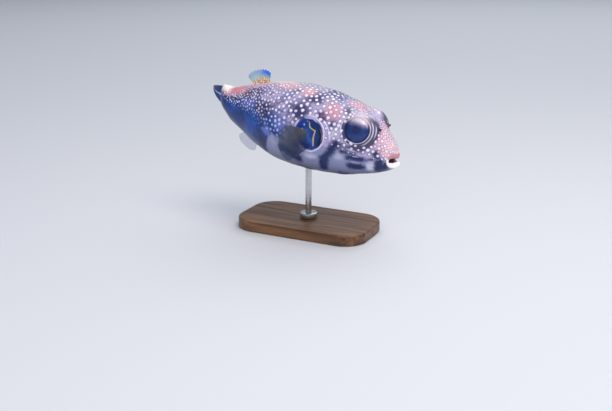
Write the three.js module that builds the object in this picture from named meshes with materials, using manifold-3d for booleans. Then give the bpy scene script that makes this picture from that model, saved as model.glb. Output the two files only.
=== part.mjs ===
// White-spotted puffer, life size, as a still display model on a plain stand.
// Millimetres, +Z up, head towards +X, the fish's own left towards +Y.
// The origin is the centre of the underside of the stand's base.
//
// The fish is first laid out straight, in body measures: `at` is the distance
// behind the snout, `side` is towards the fish's left and `height` is above its
// long axis. `place` then sweeps the tail, tips the nose down and lifts it all.

import * as THREE from 'three';
import { mergeVertices } from 'three/addons/utils/BufferGeometryUtils.js';
import Module from 'manifold-3d';

const wasm = await Module();
wasm.setup();

const { clamp, degToRad, lerp } = THREE.MathUtils;

// ---------------------------------------------------------------- sizes ----

const GAP = 0.3;              // clearance between pieces that meet
const FACETS_ROUND = 40;      // round the body

// Pose: carried over the base, nose a little down, tail swept to the left.
const CARRIED_AT = 120;       // distance behind the snout of the carried point
const CARRIED_HEIGHT = 130;   // its height over the ground
const NOSE_DOWN = degToRad(8.8);
const FLANK_BEND = { from: 95, to: 225, turn: degToRad(3) };
const TAIL_SWEEP = { from: 225, turnPerMm: degToRad(0.8) };

// Body outline: back and belly heights, and half the width, at each station. The
// power squares the section: 2 is an ellipse, and the head is the boxiest.
const STATIONS = [
  { at: 0, back: 0.5, belly: -18.8, half: 12.0, power: 2.15 },
  { at: 7, back: 9.5, belly: -23.6, half: 17.0, power: 2.2 },
  { at: 18, back: 21.0, belly: -28.3, half: 23.2, power: 2.3 },
  { at: 32, back: 32.2, belly: -33.0, half: 30.4, power: 2.45 },
  { at: 50, back: 41.8, belly: -38.0, half: 36.2, power: 2.55 },
  { at: 76, back: 49.6, belly: -43.5, half: 40.5, power: 2.4 },
  { at: 110, back: 53.8, belly: -47.6, half: 43.5, power: 2.2 },
  { at: 145, back: 52.2, belly: -46.4, half: 42.5, power: 2.15 },
  { at: 180, back: 44.7, belly: -38.0, half: 33.0, power: 2.15 },
  { at: 210, back: 33.8, belly: -23.8, half: 21.5, power: 2.15 },
  { at: 234, back: 25.4, belly: -13.0, half: 12.5, power: 2.15 },
  { at: 246, back: 24.5, belly: -6.0, half: 7.5, power: 2.15 },
  { at: 252, back: 23.8, belly: -3.0, half: 4.2, power: 2.15 },
];
const HEAD_END = 84;          // the head ends at the gill opening
const TRUNK_END = 212;        // the tail starts behind the roots of the dorsal and anal fins
const TAIL_END = 252;

// Eyes: a flattened ball with its rim in a raised mound of skin.
const EYE = {
  at: 44.7, side: 27.0, height: 20.9,          // the point that its sizes are taken from
  axis: new THREE.Vector3(0.12, 0.93, 0.34),   // for the left eye
  radius: 13.5, thickness: 6.6, seat: 5.0,     // seat: how far out the ball's middle is
  rimHeight: 6.2, moundTop: 14.5,              // the mound is level out to this radius
  moundFoot: 24.5, moundFall: 5,               // and then falls away as a parabola
};

// Mouth: a wide, slightly open gape, with fleshy lips and two beak plates.
const MOUTH = {
  height: -9.2, halfWidth: 13.0, halfHeight: 6.0, front: -0.6, wrap: 0.034,
  lip: 3.1, lipCorner: 2.3, depth: 12, openWidth: 11.6, openHeight: 3.3,
};
const BEAK = { halfWidth: 7.4, tall: 4.4, thick: 2.0, bite: 1.5, front: 3.2, wrap: 0.045 };

// Two-lobed flaps that stand at the nostrils.
const NOSTRIL = { at: 24, angle: degToRad(26), lobe: 1.5, spread: 1.6, tall: 2.3 };

// Fins. `root` is how far a fin starts under the skin, before it is trimmed, and
// `rounded` is the share by which its outer rays are shorter than its middle ones.
const DORSAL = {
  from: 182, to: 204, root: 3, tall: 17.5, leanFront: degToRad(-2), leanRear: degToRad(50),
  rounded: 0.30, thickRoot: 3.2, thickTip: 1.0, tilt: degToRad(-8),
};
const ANAL = {
  from: 190, to: 208, root: 3, tall: 19, leanFront: degToRad(8), leanRear: degToRad(50),
  rounded: 0.30, thickRoot: 2.6, thickTip: 1.0, tilt: degToRad(6),
};
const CAUDAL = {
  from: 249, length: 51, upper: 23.2, upperFall: 0.26, lower: -2.4, lowerRise: 0.22,
  rounded: 0.16, thickRoot: 3.4, thickTip: 1.0,
};
const PECTORAL = {
  at: 95, upper: 11, lower: -7, length: 40, root: 3, rounded: 0.22, thickRoot: 2.4,
  thickTip: 1.0, flare: degToRad(30), flareEases: 0.35,
  upperTurn: degToRad(6), lowerTurn: degToRad(-46),
};

// Stand: a flat base with a rounded outline, a collar and one short rod.
const BASE = { length: 176, width: 96, corner: 30, tall: 14, bevel: 2 };
const ROD = { radius: 4, intoBase: 9, intoFish: 14, at: 0 };
const COLLAR = { radius: 11, tall: 7 };

// ------------------------------------------------------------- body form ----

/** Cubic curve through the stations, with each slope taken from its neighbours. */
function outline(at, key) {
  const last = STATIONS.length - 1;
  let i = 0;
  while (i < last - 1 && STATIONS[i + 1].at < at) i += 1;
  const slope = (k) => {
    const before = STATIONS[Math.max(k - 1, 0)];
    const after = STATIONS[Math.min(k + 1, last)];
    return (after[key] - before[key]) / (after.at - before.at);
  };
  const span = STATIONS[i + 1].at - STATIONS[i].at;
  const t = (at - STATIONS[i].at) / span;
  const rise = STATIONS[i + 1][key] - STATIONS[i][key];
  return STATIONS[i][key] + rise * t * t * (3 - 2 * t)
    + span * t * (1 - t) * (slope(i) * (1 - t) - slope(i + 1) * t);
}

/** The long axis: where it runs and which way it heads, `at` behind the snout. */
function spine(at) {
  const flankRate = FLANK_BEND.turn / (FLANK_BEND.to - FLANK_BEND.from);
  const arc = (x, y, heading, rate, length) => ({
    x: x - (Math.sin(heading + rate * length) - Math.sin(heading)) / rate,
    y: y - (Math.cos(heading + rate * length) - Math.cos(heading)) / rate,
    heading: heading + rate * length,
  });
  if (at < FLANK_BEND.from) return { x: -at, y: 0, heading: 0 };
  if (at < FLANK_BEND.to) return arc(-FLANK_BEND.from, 0, 0, flankRate, at - FLANK_BEND.from);
  const hip = arc(-FLANK_BEND.from, 0, 0, flankRate, FLANK_BEND.to - FLANK_BEND.from);
  return arc(hip.x, hip.y, hip.heading, TAIL_SWEEP.turnPerMm, at - TAIL_SWEEP.from);
}

/** Body measures, as (-at, side, height), moved to where the posed fish has them. */
function place(body) {
  const axis = spine(-body.x);
  const x = axis.x + body.y * Math.sin(axis.heading) + CARRIED_AT;
  const y = axis.y + body.y * Math.cos(axis.heading);
  return body.set(
    x * Math.cos(NOSE_DOWN) + body.z * Math.sin(NOSE_DOWN),
    y,
    body.z * Math.cos(NOSE_DOWN) - x * Math.sin(NOSE_DOWN) + CARRIED_HEIGHT,
  );
}

const signedPower = (value, power) => Math.sign(value) * Math.abs(value) ** power;

/** A point of the plain body section. The angle is 0 on the back, + to the left. */
function sectionPoint(at, angle, grow = 0) {
  const back = outline(at, 'back') + grow;
  const belly = outline(at, 'belly') - grow;
  const half = outline(at, 'half') + grow;
  const power = 2 / outline(at, 'power');
  return new THREE.Vector3(
    -at,
    half * signedPower(Math.sin(angle), power),
    (back + belly) / 2 + (back - belly) / 2 * signedPower(Math.cos(angle), power),
  );
}

// ------------------------------------------------------------ solid tools ----

/** Moves every vertex of a geometry by a function of its old position. */
function mapVertices(geometry, move) {
  const position = geometry.getAttribute('position');
  const vertex = new THREE.Vector3();
  for (let i = 0; i < position.count; i += 1) {
    const moved = move(vertex.fromBufferAttribute(position, i).clone());
    position.setXYZ(i, moved.x, moved.y, moved.z);
  }
  return geometry;
}

function toSolid(geometry) {
  const bare = new THREE.BufferGeometry();
  bare.setAttribute('position', geometry.getAttribute('position'));
  if (geometry.index) bare.setIndex(geometry.index);
  const welded = mergeVertices(bare, 1e-4);
  const solid = new wasm.Manifold(new wasm.Mesh({
    numProp: 3,
    vertProperties: new Float32Array(welded.getAttribute('position').array),
    triVerts: new Uint32Array(welded.index.array),
  }));
  if (solid.volume() <= 0) throw new Error('a solid is empty or inside out');
  return solid;
}

function toGeometry(solid) {
  const mesh = solid.getMesh();
  const geometry = new THREE.BufferGeometry();
  geometry.setAttribute('position', new THREE.BufferAttribute(mesh.vertProperties, 3));
  geometry.setIndex(new THREE.BufferAttribute(mesh.triVerts, 1));
  geometry.computeVertexNormals();
  return geometry;
}

const group = new THREE.Group();

function addPiece(name, solid, color, roughness, metalness = 0) {
  const material = new THREE.MeshStandardMaterial({ color, roughness, metalness });
  const mesh = new THREE.Mesh(toGeometry(solid), material);
  mesh.name = name;
  group.add(mesh);
}

/**
 * A length of the body between two stations, closed by a flat end at each.
 * `spacing` bends the even spacing of the rings, and `grow` makes it fatter.
 */
function bodyLength(from, to, rings, { spacing = (t) => t, grow = 0 }) {
  const tube = new THREE.CylinderGeometry(1, 1, 1, FACETS_ROUND, rings);
  return toSolid(mapVertices(tube, (p) => {
    const at = lerp(from, to, spacing(clamp(0.5 - p.y, 0, 1)));
    const reach = Math.hypot(p.x, p.z);
    const middle = (outline(at, 'back') + outline(at, 'belly')) / 2;
    const axis = new THREE.Vector3(-at, 0, middle);
    return place(axis.lerp(sectionPoint(at, Math.atan2(-p.x, p.z), grow), reach));
  }));
}

/** A shape modelled about +Z, stood on `centre` along `axis`, in body measures. */
function standUp(geometry, centre, axis = new THREE.Vector3(0, 0, 1)) {
  const turn = new THREE.Quaternion().setFromUnitVectors(
    new THREE.Vector3(0, 0, 1), axis.clone().normalize());
  return toSolid(mapVertices(geometry, (p) => place(p.applyQuaternion(turn).add(centre))));
}

function ellipsoid(centre, radii, axis, facets) {
  const ball = new THREE.SphereGeometry(1, facets, Math.round(facets * 0.6));
  ball.rotateX(Math.PI / 2).scale(radii.x, radii.y, radii.z);
  return standUp(ball, centre, axis);
}

/**
 * A fin: `sheet(s, t)` gives its middle surface in body measures, s across the
 * rays and t from root to tip, and `thickness(t)` its thickness there.
 */
function finSolid(across, along, sheet, thickness) {
  const slab = new THREE.BoxGeometry(1, 1, 1, across, along, 1);
  const step = 1e-3;
  return toSolid(mapVertices(slab, (p) => {
    const s = p.x + 0.5;
    const t = p.y + 0.5;
    const alongS = sheet(s + step, t).sub(sheet(s - step, t));
    const alongT = sheet(s, t + step).sub(sheet(s, t - step));
    const out = alongS.cross(alongT).normalize();
    return place(sheet(s, t).addScaledVector(out, p.z * thickness(t)));
  }));
}

// ------------------------------------------------------------------- head ----

/** One ring of lip, bent round the snout, thinner at the corners of the mouth. */
function lips() {
  const ring = new THREE.TorusGeometry(2, 1, 9, 28);
  return toSolid(mapVertices(ring, (p) => {
    const turn = Math.atan2(p.y, p.x);
    const outward = Math.hypot(p.x, p.y) - 2;
    const thick = lerp(MOUTH.lip, MOUTH.lipCorner, Math.cos(turn) ** 2);
    const side = (MOUTH.halfWidth + outward * thick) * Math.cos(turn);
    const height = MOUTH.height + (MOUTH.halfHeight + outward * thick) * Math.sin(turn);
    const at = MOUTH.front + MOUTH.wrap * side * side - p.z * thick;
    return place(new THREE.Vector3(-at, side, height));
  }));
}

function mouthHollow() {
  const centre = new THREE.Vector3(-(MOUTH.front + MOUTH.depth / 2), 0, MOUTH.height);
  const radii = new THREE.Vector3(MOUTH.depth, MOUTH.openWidth, MOUTH.openHeight);
  return ellipsoid(centre, radii, undefined, 16);
}

/** A plate of the beak, upper (+1) or lower (-1), curved like the jaw. */
function beakPlate(upper, grow = 0) {
  const plate = new THREE.BoxGeometry(1, 1, 1, 1, 10, 1);
  return toSolid(mapVertices(plate, (p) => {
    const side = p.y * 2 * (BEAK.halfWidth + grow);
    const rise = BEAK.bite - grow + (p.z + 0.5) * (BEAK.tall + 2 * grow);
    const at = BEAK.front + BEAK.wrap * side * side - p.x * (BEAK.thick + 2 * grow);
    return place(new THREE.Vector3(-at, side * (upper ? 1 : -1), MOUTH.height + (upper ? rise : -rise)));
  }));
}

function eyeball({ centre, axis }, grow = 0) {
  const radii = new THREE.Vector3(EYE.radius + grow, EYE.radius + grow, EYE.thickness + grow);
  return ellipsoid(centre.clone().addScaledVector(axis, EYE.seat), radii, axis, 20);
}

/** The round-shouldered mound of skin that an eye is set in. */
function eyeMound({ centre, axis }, grow = 0) {
  const profile = [new THREE.Vector2(0, EYE.rimHeight)];
  const steps = 4;
  for (let i = 0; i <= steps; i += 1) {
    const radius = lerp(EYE.moundTop, EYE.moundFoot, Math.sqrt(i / steps));
    const fall = (radius - EYE.moundTop) ** 2 / EYE.moundFall;
    profile.push(new THREE.Vector2(radius + grow, EYE.rimHeight - fall));
  }
  profile.push(new THREE.Vector2(0, profile.at(-1).y));
  const mound = new THREE.LatheGeometry(profile.reverse(), 24);
  return standUp(mound.rotateX(Math.PI / 2), centre, axis);
}

/** The pair of flaps at one nostril, leaning apart along the body. */
function nostrilFlaps(sign) {
  const foot = sectionPoint(NOSTRIL.at, sign * NOSTRIL.angle);
  const middle = new THREE.Vector3(foot.x, 0, 0);
  const up = foot.clone().sub(middle).normalize();
  const radii = new THREE.Vector3(NOSTRIL.lobe, NOSTRIL.lobe * 0.7, NOSTRIL.tall);
  const lobes = [-1, 1].map((lobe) => {
    const lean = up.clone().add(new THREE.Vector3(lobe * 0.45, 0, 0));
    const centre = foot.clone().addScaledVector(up, NOSTRIL.tall * 0.8);
    centre.x += lobe * NOSTRIL.spread * 0.6;
    return ellipsoid(centre, radii, lean, 6);
  });
  return lobes[0].add(lobes[1]);
}

// Rings crowd together at the snout, where the form turns fastest.
const headSpacing = (t) => t ** 1.25;
const headForm = (grow) => bodyLength(0.4, HEAD_END - GAP / 2, 18, { spacing: headSpacing, grow });

const EYES = [-1, 1].map((sign) => ({
  centre: new THREE.Vector3(-EYE.at, sign * EYE.side, EYE.height),
  axis: EYE.axis.clone().multiply(new THREE.Vector3(1, sign, 1)).normalize(),
}));

let head = headForm(0).add(lips()).subtract(mouthHollow());
for (const eye of EYES) head = head.add(eyeMound(eye)).subtract(eyeball(eye, GAP));
for (const upper of [true, false]) head = head.subtract(beakPlate(upper, GAP));
addPiece('head', head, 0xa294ac, 0.55);

const headShell = headForm(GAP);
const SIDES = [['right', -1], ['left', 1]];
for (const [name, sign] of SIDES) {
  const eye = EYES[(sign + 1) / 2];
  addPiece(`eye_${name}`, eyeball(eye), 0x22305c, 0.12);
  const flaps = nostrilFlaps(sign).subtract(headShell).subtract(eyeMound(eye, 2 * GAP));
  addPiece(`nostril_${name}`, flaps, 0x5a3a44, 0.6);
}
addPiece('beak_upper', beakPlate(true), 0xece4cf, 0.3);
addPiece('beak_lower', beakPlate(false), 0xece4cf, 0.3);

// --------------------------------------------------------- trunk and tail ----

const trunkForm = (grow) => bodyLength(HEAD_END + GAP / 2, TRUNK_END - GAP / 2, 11, { grow });
const tailForm = (grow) => bodyLength(TRUNK_END + GAP / 2, TAIL_END, 8, { grow });
const trunkShell = trunkForm(GAP);
const tailShell = tailForm(GAP);

/** An upright round bar from one height to another, over the point x, 0. */
function bar(radius, bottom, top, x = 0, facets = 20) {
  const shape = new THREE.CylinderGeometry(radius, radius, top - bottom, facets);
  shape.rotateX(Math.PI / 2);
  shape.translate(x, 0, (bottom + top) / 2);
  return toSolid(shape);
}

const bellyOverRod = place(sectionPoint(CARRIED_AT - ROD.at, Math.PI)).z;
const rodTop = bellyOverRod + ROD.intoFish;
const rodBottom = BASE.tall - ROD.intoBase;
const rodBore = bar(ROD.radius + GAP, rodBottom - GAP, rodTop + GAP, ROD.at);

addPiece('trunk', trunkForm(0).subtract(rodBore), 0x9a8ca6, 0.55);
addPiece('tail', tailForm(0), 0x56597f, 0.55);

// ------------------------------------------------------------------- fins ----

/** The middle surface of a fin on the back (+1) or belly (-1), fanned backwards. */
function midlineFin(fin, up) {
  return (s, t) => {
    const foot = lerp(fin.from, fin.to, s);
    const lean = lerp(fin.leanFront, fin.leanRear, s);
    const reach = fin.tall * (1 - fin.rounded * Math.abs(2 * s - 1) ** 3);
    const along = lerp(-fin.root, reach, t);
    const rise = along * Math.cos(lean);
    const edge = outline(foot, up > 0 ? 'back' : 'belly');
    return new THREE.Vector3(
      -(foot + along * Math.sin(lean)),
      rise * Math.sin(fin.tilt),
      edge + up * rise * Math.cos(fin.tilt),
    );
  };
}

const taper = (fin) => (t) => lerp(fin.thickRoot, fin.thickTip, Math.sqrt(clamp(t, 0, 1)));

const dorsal = finSolid(12, 5, midlineFin(DORSAL, 1), taper(DORSAL));
addPiece('dorsal_fin', dorsal.subtract(trunkShell), 0xb5a06c, 0.5);
const anal = finSolid(10, 5, midlineFin(ANAL, -1), taper(ANAL));
addPiece('anal_fin', anal.subtract(trunkShell), 0x6c6a78, 0.5);

/** The tail fin, folded like a half-closed fan, narrowing towards its tip. */
function caudalSheet(s, t) {
  const along = CAUDAL.length * t * (1 - CAUDAL.rounded * (2 * s - 1) ** 2);
  const upper = CAUDAL.upper - CAUDAL.upperFall * along;
  const lower = CAUDAL.lower + CAUDAL.lowerRise * along;
  return new THREE.Vector3(-(CAUDAL.from + along), 0, lerp(upper, lower, s));
}

const caudal = finSolid(8, 11, caudalSheet, taper(CAUDAL));
addPiece('caudal_fin', caudal.subtract(tailShell), 0x3d4a74, 0.5);

/** The angle round the section at which the skin has a given height. */
function angleAtHeight(at, height) {
  const back = outline(at, 'back');
  const belly = outline(at, 'belly');
  const share = clamp((2 * height - back - belly) / (back - belly), -1, 1);
  return Math.acos(signedPower(share, outline(at, 'power') / 2));
}

/** A pectoral fin: a fan that trails from an upright root and stands off the flank. */
function pectoralSheet(sign) {
  return (s, t) => {
    const height = lerp(PECTORAL.upper, PECTORAL.lower, s);
    const foot = sectionPoint(PECTORAL.at, sign * angleAtHeight(PECTORAL.at, height));
    const turn = lerp(PECTORAL.upperTurn, PECTORAL.lowerTurn, s);
    const reach = PECTORAL.length * (1 - PECTORAL.rounded * Math.abs(2 * s - 1) ** 3);
    const along = lerp(-PECTORAL.root, reach, t);
    const curl = PECTORAL.flare * (1 - PECTORAL.flareEases * t);
    foot.x -= along * Math.cos(turn) * Math.cos(curl);
    foot.y += sign * along * Math.sin(curl);
    foot.z += along * Math.sin(turn);
    return foot;
  };
}

for (const [name, sign] of SIDES) {
  const fin = finSolid(12, 6, pectoralSheet(sign), taper(PECTORAL));
  addPiece(`pectoral_fin_${name}`, fin.subtract(trunkShell), 0x6b6550, 0.5);
}

// ------------------------------------------------------------------ stand ----

function standBase() {
  const x = BASE.length / 2 - BASE.bevel;
  const y = BASE.width / 2 - BASE.bevel;
  const r = BASE.corner;
  const plan = new THREE.Shape();
  plan.moveTo(-x + r, -y).lineTo(x - r, -y).absarc(x - r, -y + r, r, -Math.PI / 2, 0);
  plan.lineTo(x, y - r).absarc(x - r, y - r, r, 0, Math.PI / 2);
  plan.lineTo(-x + r, y).absarc(-x + r, y - r, r, Math.PI / 2, Math.PI);
  plan.lineTo(-x, -y + r).absarc(-x + r, -y + r, r, Math.PI, Math.PI * 1.5);
  const block = new THREE.ExtrudeGeometry(plan, {
    depth: BASE.tall - 2 * BASE.bevel, curveSegments: 7,
    bevelThickness: BASE.bevel, bevelSize: BASE.bevel, bevelSegments: 1,
  });
  block.translate(0, 0, BASE.bevel);
  return toSolid(block);
}

addPiece('stand_base', standBase().subtract(rodBore), 0x4a2f20, 0.4);
const collarTop = BASE.tall + GAP + COLLAR.tall;
addPiece('stand_collar', bar(COLLAR.radius, BASE.tall + GAP, collarTop, ROD.at).subtract(rodBore),
  0xb8b8ba, 0.3, 1);
addPiece('stand_rod', bar(ROD.radius, rodBottom, rodTop, ROD.at), 0xb8b8ba, 0.3, 1);

export default group;
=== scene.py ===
"""A life-size white-spotted puffer, caught swimming, on a plain display stand.

One skin covers head, trunk and tail. Fins, eyes, beak, nostril flaps and the stand are
pieces of their own. The fish is laid out in body measures: millimetres, as the distance
behind the snout (negated), the distance towards its left and the height above its long
axis. `Body.place` turns those into metres in the row frame.

Two words are used throughout. "at" is a distance behind the snout, and "turn" is the
direction in a section of the body, from 0 on the back to a half turn at the belly.
"""

import logging
import math
from dataclasses import dataclass
from enum import Enum
from typing import Any

import bmesh
import bpy
import numpy as np
from mathutils import Matrix, Vector, noise
from mathutils.kdtree import KDTree


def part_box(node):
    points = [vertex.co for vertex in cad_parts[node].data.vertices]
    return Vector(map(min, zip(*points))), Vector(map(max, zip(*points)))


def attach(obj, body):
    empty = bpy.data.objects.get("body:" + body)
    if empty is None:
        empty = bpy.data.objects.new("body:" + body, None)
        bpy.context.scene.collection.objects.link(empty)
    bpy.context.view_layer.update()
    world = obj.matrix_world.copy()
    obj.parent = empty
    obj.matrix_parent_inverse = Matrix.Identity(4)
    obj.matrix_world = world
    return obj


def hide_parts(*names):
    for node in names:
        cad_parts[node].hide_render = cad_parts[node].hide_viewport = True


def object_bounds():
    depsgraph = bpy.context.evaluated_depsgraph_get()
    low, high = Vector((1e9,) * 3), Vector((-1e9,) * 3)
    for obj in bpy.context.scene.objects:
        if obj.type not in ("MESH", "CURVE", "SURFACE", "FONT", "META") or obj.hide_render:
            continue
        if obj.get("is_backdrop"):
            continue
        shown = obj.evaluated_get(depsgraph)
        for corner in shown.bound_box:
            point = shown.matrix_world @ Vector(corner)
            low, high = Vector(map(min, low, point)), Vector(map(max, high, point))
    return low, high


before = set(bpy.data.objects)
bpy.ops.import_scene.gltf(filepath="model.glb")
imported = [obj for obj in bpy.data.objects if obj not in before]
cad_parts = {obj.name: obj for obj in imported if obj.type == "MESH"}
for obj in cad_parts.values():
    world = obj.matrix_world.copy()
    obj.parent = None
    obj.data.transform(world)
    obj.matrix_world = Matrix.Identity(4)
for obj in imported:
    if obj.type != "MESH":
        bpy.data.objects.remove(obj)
CAD_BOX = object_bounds()

MM = 0.001
SEED = 11
BODY_NAME = "root"
FAR = 9.0  # A distance in millimetres that lies clear of every mark.

# Settings that many nodes share. A soft range fades gently at both ends.
SOFT = {"interpolation_type": "SMOOTHSTEP"}
TIMES = {"operation": "MULTIPLY"}
TIMES_PLUS = {"operation": "MULTIPLY_ADD"}
IN_COLOUR = {"data_type": "RGBA"}

log = logging.getLogger("pufferfish")
Array = np.ndarray
Pair = tuple[float, float]
Triple = tuple[float, float, float]
Knots = tuple[tuple[float, ...], ...]  # Points of a curve, in order.
Socket = bpy.types.NodeSocket
Piece = bpy.types.Object
Material = bpy.types.Material


# ---- helpers ----


def linear(hex_colour: str) -> tuple[float, float, float, float]:
    """Turns an sRGB colour such as "#a1b2c3" into linear RGBA.

    Args:
        hex_colour: The colour, with its leading #.

    Returns:
        Linear red, green, blue and an alpha of 1.
    """
    channels = [int(hex_colour[i:i + 2], 16) / 255 for i in (1, 3, 5)]
    values = [c / 12.92 if c <= 0.04045 else ((c + 0.055) / 1.055) ** 2.4 for c in channels]
    return (*values, 1.0)


def scale_for(size_mm: float) -> float:
    """Returns the scale of a texture whose pattern has this size in millimetres."""
    return 1 / (size_mm * MM)


def smooth(low: float, high: float, x: Array | float) -> Array:
    """Returns a smooth rise from 0 at low to 1 at high, or a fall where low is above high."""
    t = np.clip((x - low) / (high - low), 0, 1)
    return t * t * (3 - 2 * t)


def mix(a: Array | float, b: Array | float, t: Array | float) -> Array:
    """Returns the blend of a and b, all a where t is 0."""
    return a + (b - a) * t


def hump(x: Array, middle: float, width: float) -> Array:
    """Returns a bell curve that is 1 in its middle and about a third at its width."""
    return np.exp(-((x - middle) / width) ** 2)


def soft_max(a: Array, b: Array, roundness: float) -> Array:
    """Returns the higher of a and b, with a fillet of that size where they cross."""
    return np.maximum(a, b) + roundness * np.log1p(np.exp(-np.abs(a - b) / roundness))


def through(x: Array, knots: Knots, column: int = 1) -> Array:
    """Reads a smooth curve through a few knots.

    Args:
        x: Where to read it.
        knots: Rows that start with their place, in rising order.
        column: Which column of the rows holds the value.

    Returns:
        The curve's values, with slopes taken from neighbouring knots.
    """
    table = np.array(knots, float)
    place, value = table[:, 0], table[:, column]
    last = len(place) - 1
    after = np.minimum(np.arange(last + 1) + 1, last)
    before = np.maximum(np.arange(last + 1) - 1, 0)
    slope = (value[after] - value[before]) / (place[after] - place[before])
    i = np.clip(np.searchsorted(place, x) - 1, 0, last - 1)
    span = place[i + 1] - place[i]
    t = (x - place[i]) / span
    rise = value[i + 1] - value[i]
    bend = span * t * (1 - t) * (slope[i] * (1 - t) - slope[i + 1] * t)
    return value[i] + rise * t * t * (3 - 2 * t) + bend


def unit(v: Array | Triple) -> Array:
    """Returns the vector at length 1."""
    return np.array(v, float) / np.linalg.norm(v)


def tree_of(points: Array) -> KDTree:
    """Builds a search tree over points.

    Args:
        points: Rows of coordinates.

    Returns:
        A tree that gives the numbers of the nearest rows.
    """
    tree = KDTree(len(points))
    for index, point in enumerate(points):
        tree.insert(point, index)
    tree.balance()
    return tree


class Recipe:
    """A material in the making, to which nodes are added one at a time."""

    def __init__(self, name: str) -> None:
        """Starts the material with an empty node tree.

        Args:
            name: The material's name.
        """
        self.material = bpy.data.materials.new(name)
        self.material.use_nodes = True
        self.tree = self.material.node_tree
        self.tree.nodes.clear()

    def add(self, kind: str, inputs: dict[Any, Any] | None = None, output: str = "",
            **settings: Any) -> Socket | None:
        """Adds a node with its settings, values and links.

        Args:
            kind: The node's type, without its "ShaderNode" prefix.
            inputs: For each input's name or number, a value, a colour such as "#a1b2c3"
                or the output that feeds it.
            output: Which output to return. Without it, the first that is in use.
            **settings: The node's own properties.

        Returns:
            The output, or nothing where the node has none.
        """
        made = self.tree.nodes.new("ShaderNode" + kind)
        for name, value in settings.items():
            setattr(made, name, value)
        for key, value in (inputs or {}).items():
            if isinstance(value, Socket):
                self.tree.links.new(value, made.inputs[key])
            else:
                value = linear(value) if isinstance(value, str) else value
                made.inputs[key].default_value = value
        if output:
            return made.outputs[output]
        return next((socket for socket in made.outputs if socket.enabled), None)

    def finish(self, inputs: dict[Any, Any], kind: str = "BsdfPrincipled") -> Material:
        """Adds the surface shader, joins it to the output and returns the material."""
        self.add("OutputMaterial", {"Surface": self.add(kind, inputs)})
        return self.material


def select(*pieces: Piece) -> None:
    """Leaves edit mode and selects these objects alone.

    Args:
        *pieces: The objects, of which the first becomes active.
    """
    if bpy.context.object and bpy.context.object.mode != "OBJECT":
        bpy.ops.object.mode_set(mode="OBJECT")
    bpy.ops.object.select_all(action="DESELECT")
    for piece in pieces:
        piece.select_set(True)
    if pieces:
        bpy.context.view_layer.objects.active = pieces[0]


def new_primitive(kind: str, name: str, **settings: Any) -> Piece:
    """Adds one of Blender's mesh primitives, with its place in its mesh.

    Args:
        kind: Its kind, as in the operator's name, such as "cube".
        name: The name of object and mesh.
        **settings: The operator's own settings.

    Returns:
        The new object, alone selected, unturned at the origin.
    """
    select()
    getattr(bpy.ops.mesh, f"primitive_{kind}_add")(**settings)
    bpy.ops.object.transform_apply(location=True, rotation=True, scale=True)
    piece = bpy.context.object
    piece.name = piece.data.name = name
    return piece


def apply_modifier(piece: Piece, kind: str, **settings: Any) -> None:
    """Adds a modifier and applies it at once.

    Args:
        piece: The mesh object.
        kind: The modifier's type, such as "SOLIDIFY".
        **settings: The modifier's own properties.
    """
    select(piece)
    modifier = piece.modifiers.new(kind.title(), kind)
    for key, value in settings.items():
        setattr(modifier, key, value)
    bpy.ops.object.modifier_apply(modifier=modifier.name)


def coordinates(piece: Piece) -> Array:
    """Reads the mesh's vertex positions.

    Args:
        piece: The mesh object.

    Returns:
        One row for each vertex.
    """
    flat = np.empty(len(piece.data.vertices) * 3)
    piece.data.vertices.foreach_get("co", flat)
    return flat.reshape(-1, 3)


def set_coordinates(piece: Piece, points: Array) -> None:
    """Writes the mesh's vertex positions."""
    piece.data.vertices.foreach_set("co", np.ascontiguousarray(points, float).ravel())
    piece.data.update()


def set_attribute(piece: Piece, name: str, values: Array, domain: str = "POINT") -> None:
    """Writes a number, or a vector where values has rows of three, on every element.

    Args:
        piece: The mesh object.
        name: The attribute's name.
        values: One entry for each element.
        domain: "POINT" or "FACE".
    """
    kind, part = ("FLOAT_VECTOR", "vector") if values.ndim == 2 else ("FLOAT", "value")
    layer = piece.data.attributes.new(name, kind, domain)
    layer.data.foreach_set(part, values.astype(np.float32).ravel())


def new_grid(name: str, columns: int, rows: int) -> tuple[Piece, Array, Array]:
    """Adds a flat grid and tells where each vertex lies on it.

    Args:
        name: The piece's name.
        columns: How many faces it has along its first side.
        rows: How many along its second.

    Returns:
        The object, and for each vertex its share along the first and the second side.
    """
    piece = new_primitive("grid", name, x_subdivisions=columns, y_subdivisions=rows, size=1)
    flat = coordinates(piece)
    u = np.round((flat[:, 0] + 0.5) * columns) / columns
    v = np.round((flat[:, 1] + 0.5) * rows) / rows
    return piece, u, v


def weld(piece: Piece) -> None:
    """Merges vertices that share a place and points every face outwards.

    Args:
        piece: The mesh object.
    """
    select(piece)
    bpy.ops.object.mode_set(mode="EDIT")
    bpy.ops.mesh.select_all(action="SELECT")
    bpy.ops.mesh.remove_doubles(threshold=1e-6)
    bpy.ops.mesh.normals_make_consistent(inside=False)
    bpy.ops.object.mode_set(mode="OBJECT")


def install(piece: Piece, slot: str, material: Material,
            *nodes: str, crisp_over: float = math.pi) -> None:
    """Smooths and dresses a finished piece and sets it in the place of its solids.

    Args:
        piece: The finished object.
        slot: The name of a material slot; not used.
        material: What it is made of.
        *nodes: The solids that it stands for.
        crisp_over: The angle above which an edge stays crisp.
    """
    select(piece)
    bpy.ops.object.shade_smooth_by_angle(angle=crisp_over)
    piece.data.materials.clear()
    piece.data.materials.append(material)
    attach(piece, BODY_NAME)
    if nodes:
        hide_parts(*nodes)
    log.info("%s: %d faces", piece.name, len(piece.data.polygons))


# ---- body form ----


class Side(Enum):
    """The fish's own sides, with the sign that each has in body measures."""

    RIGHT = -1
    LEFT = 1


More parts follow.
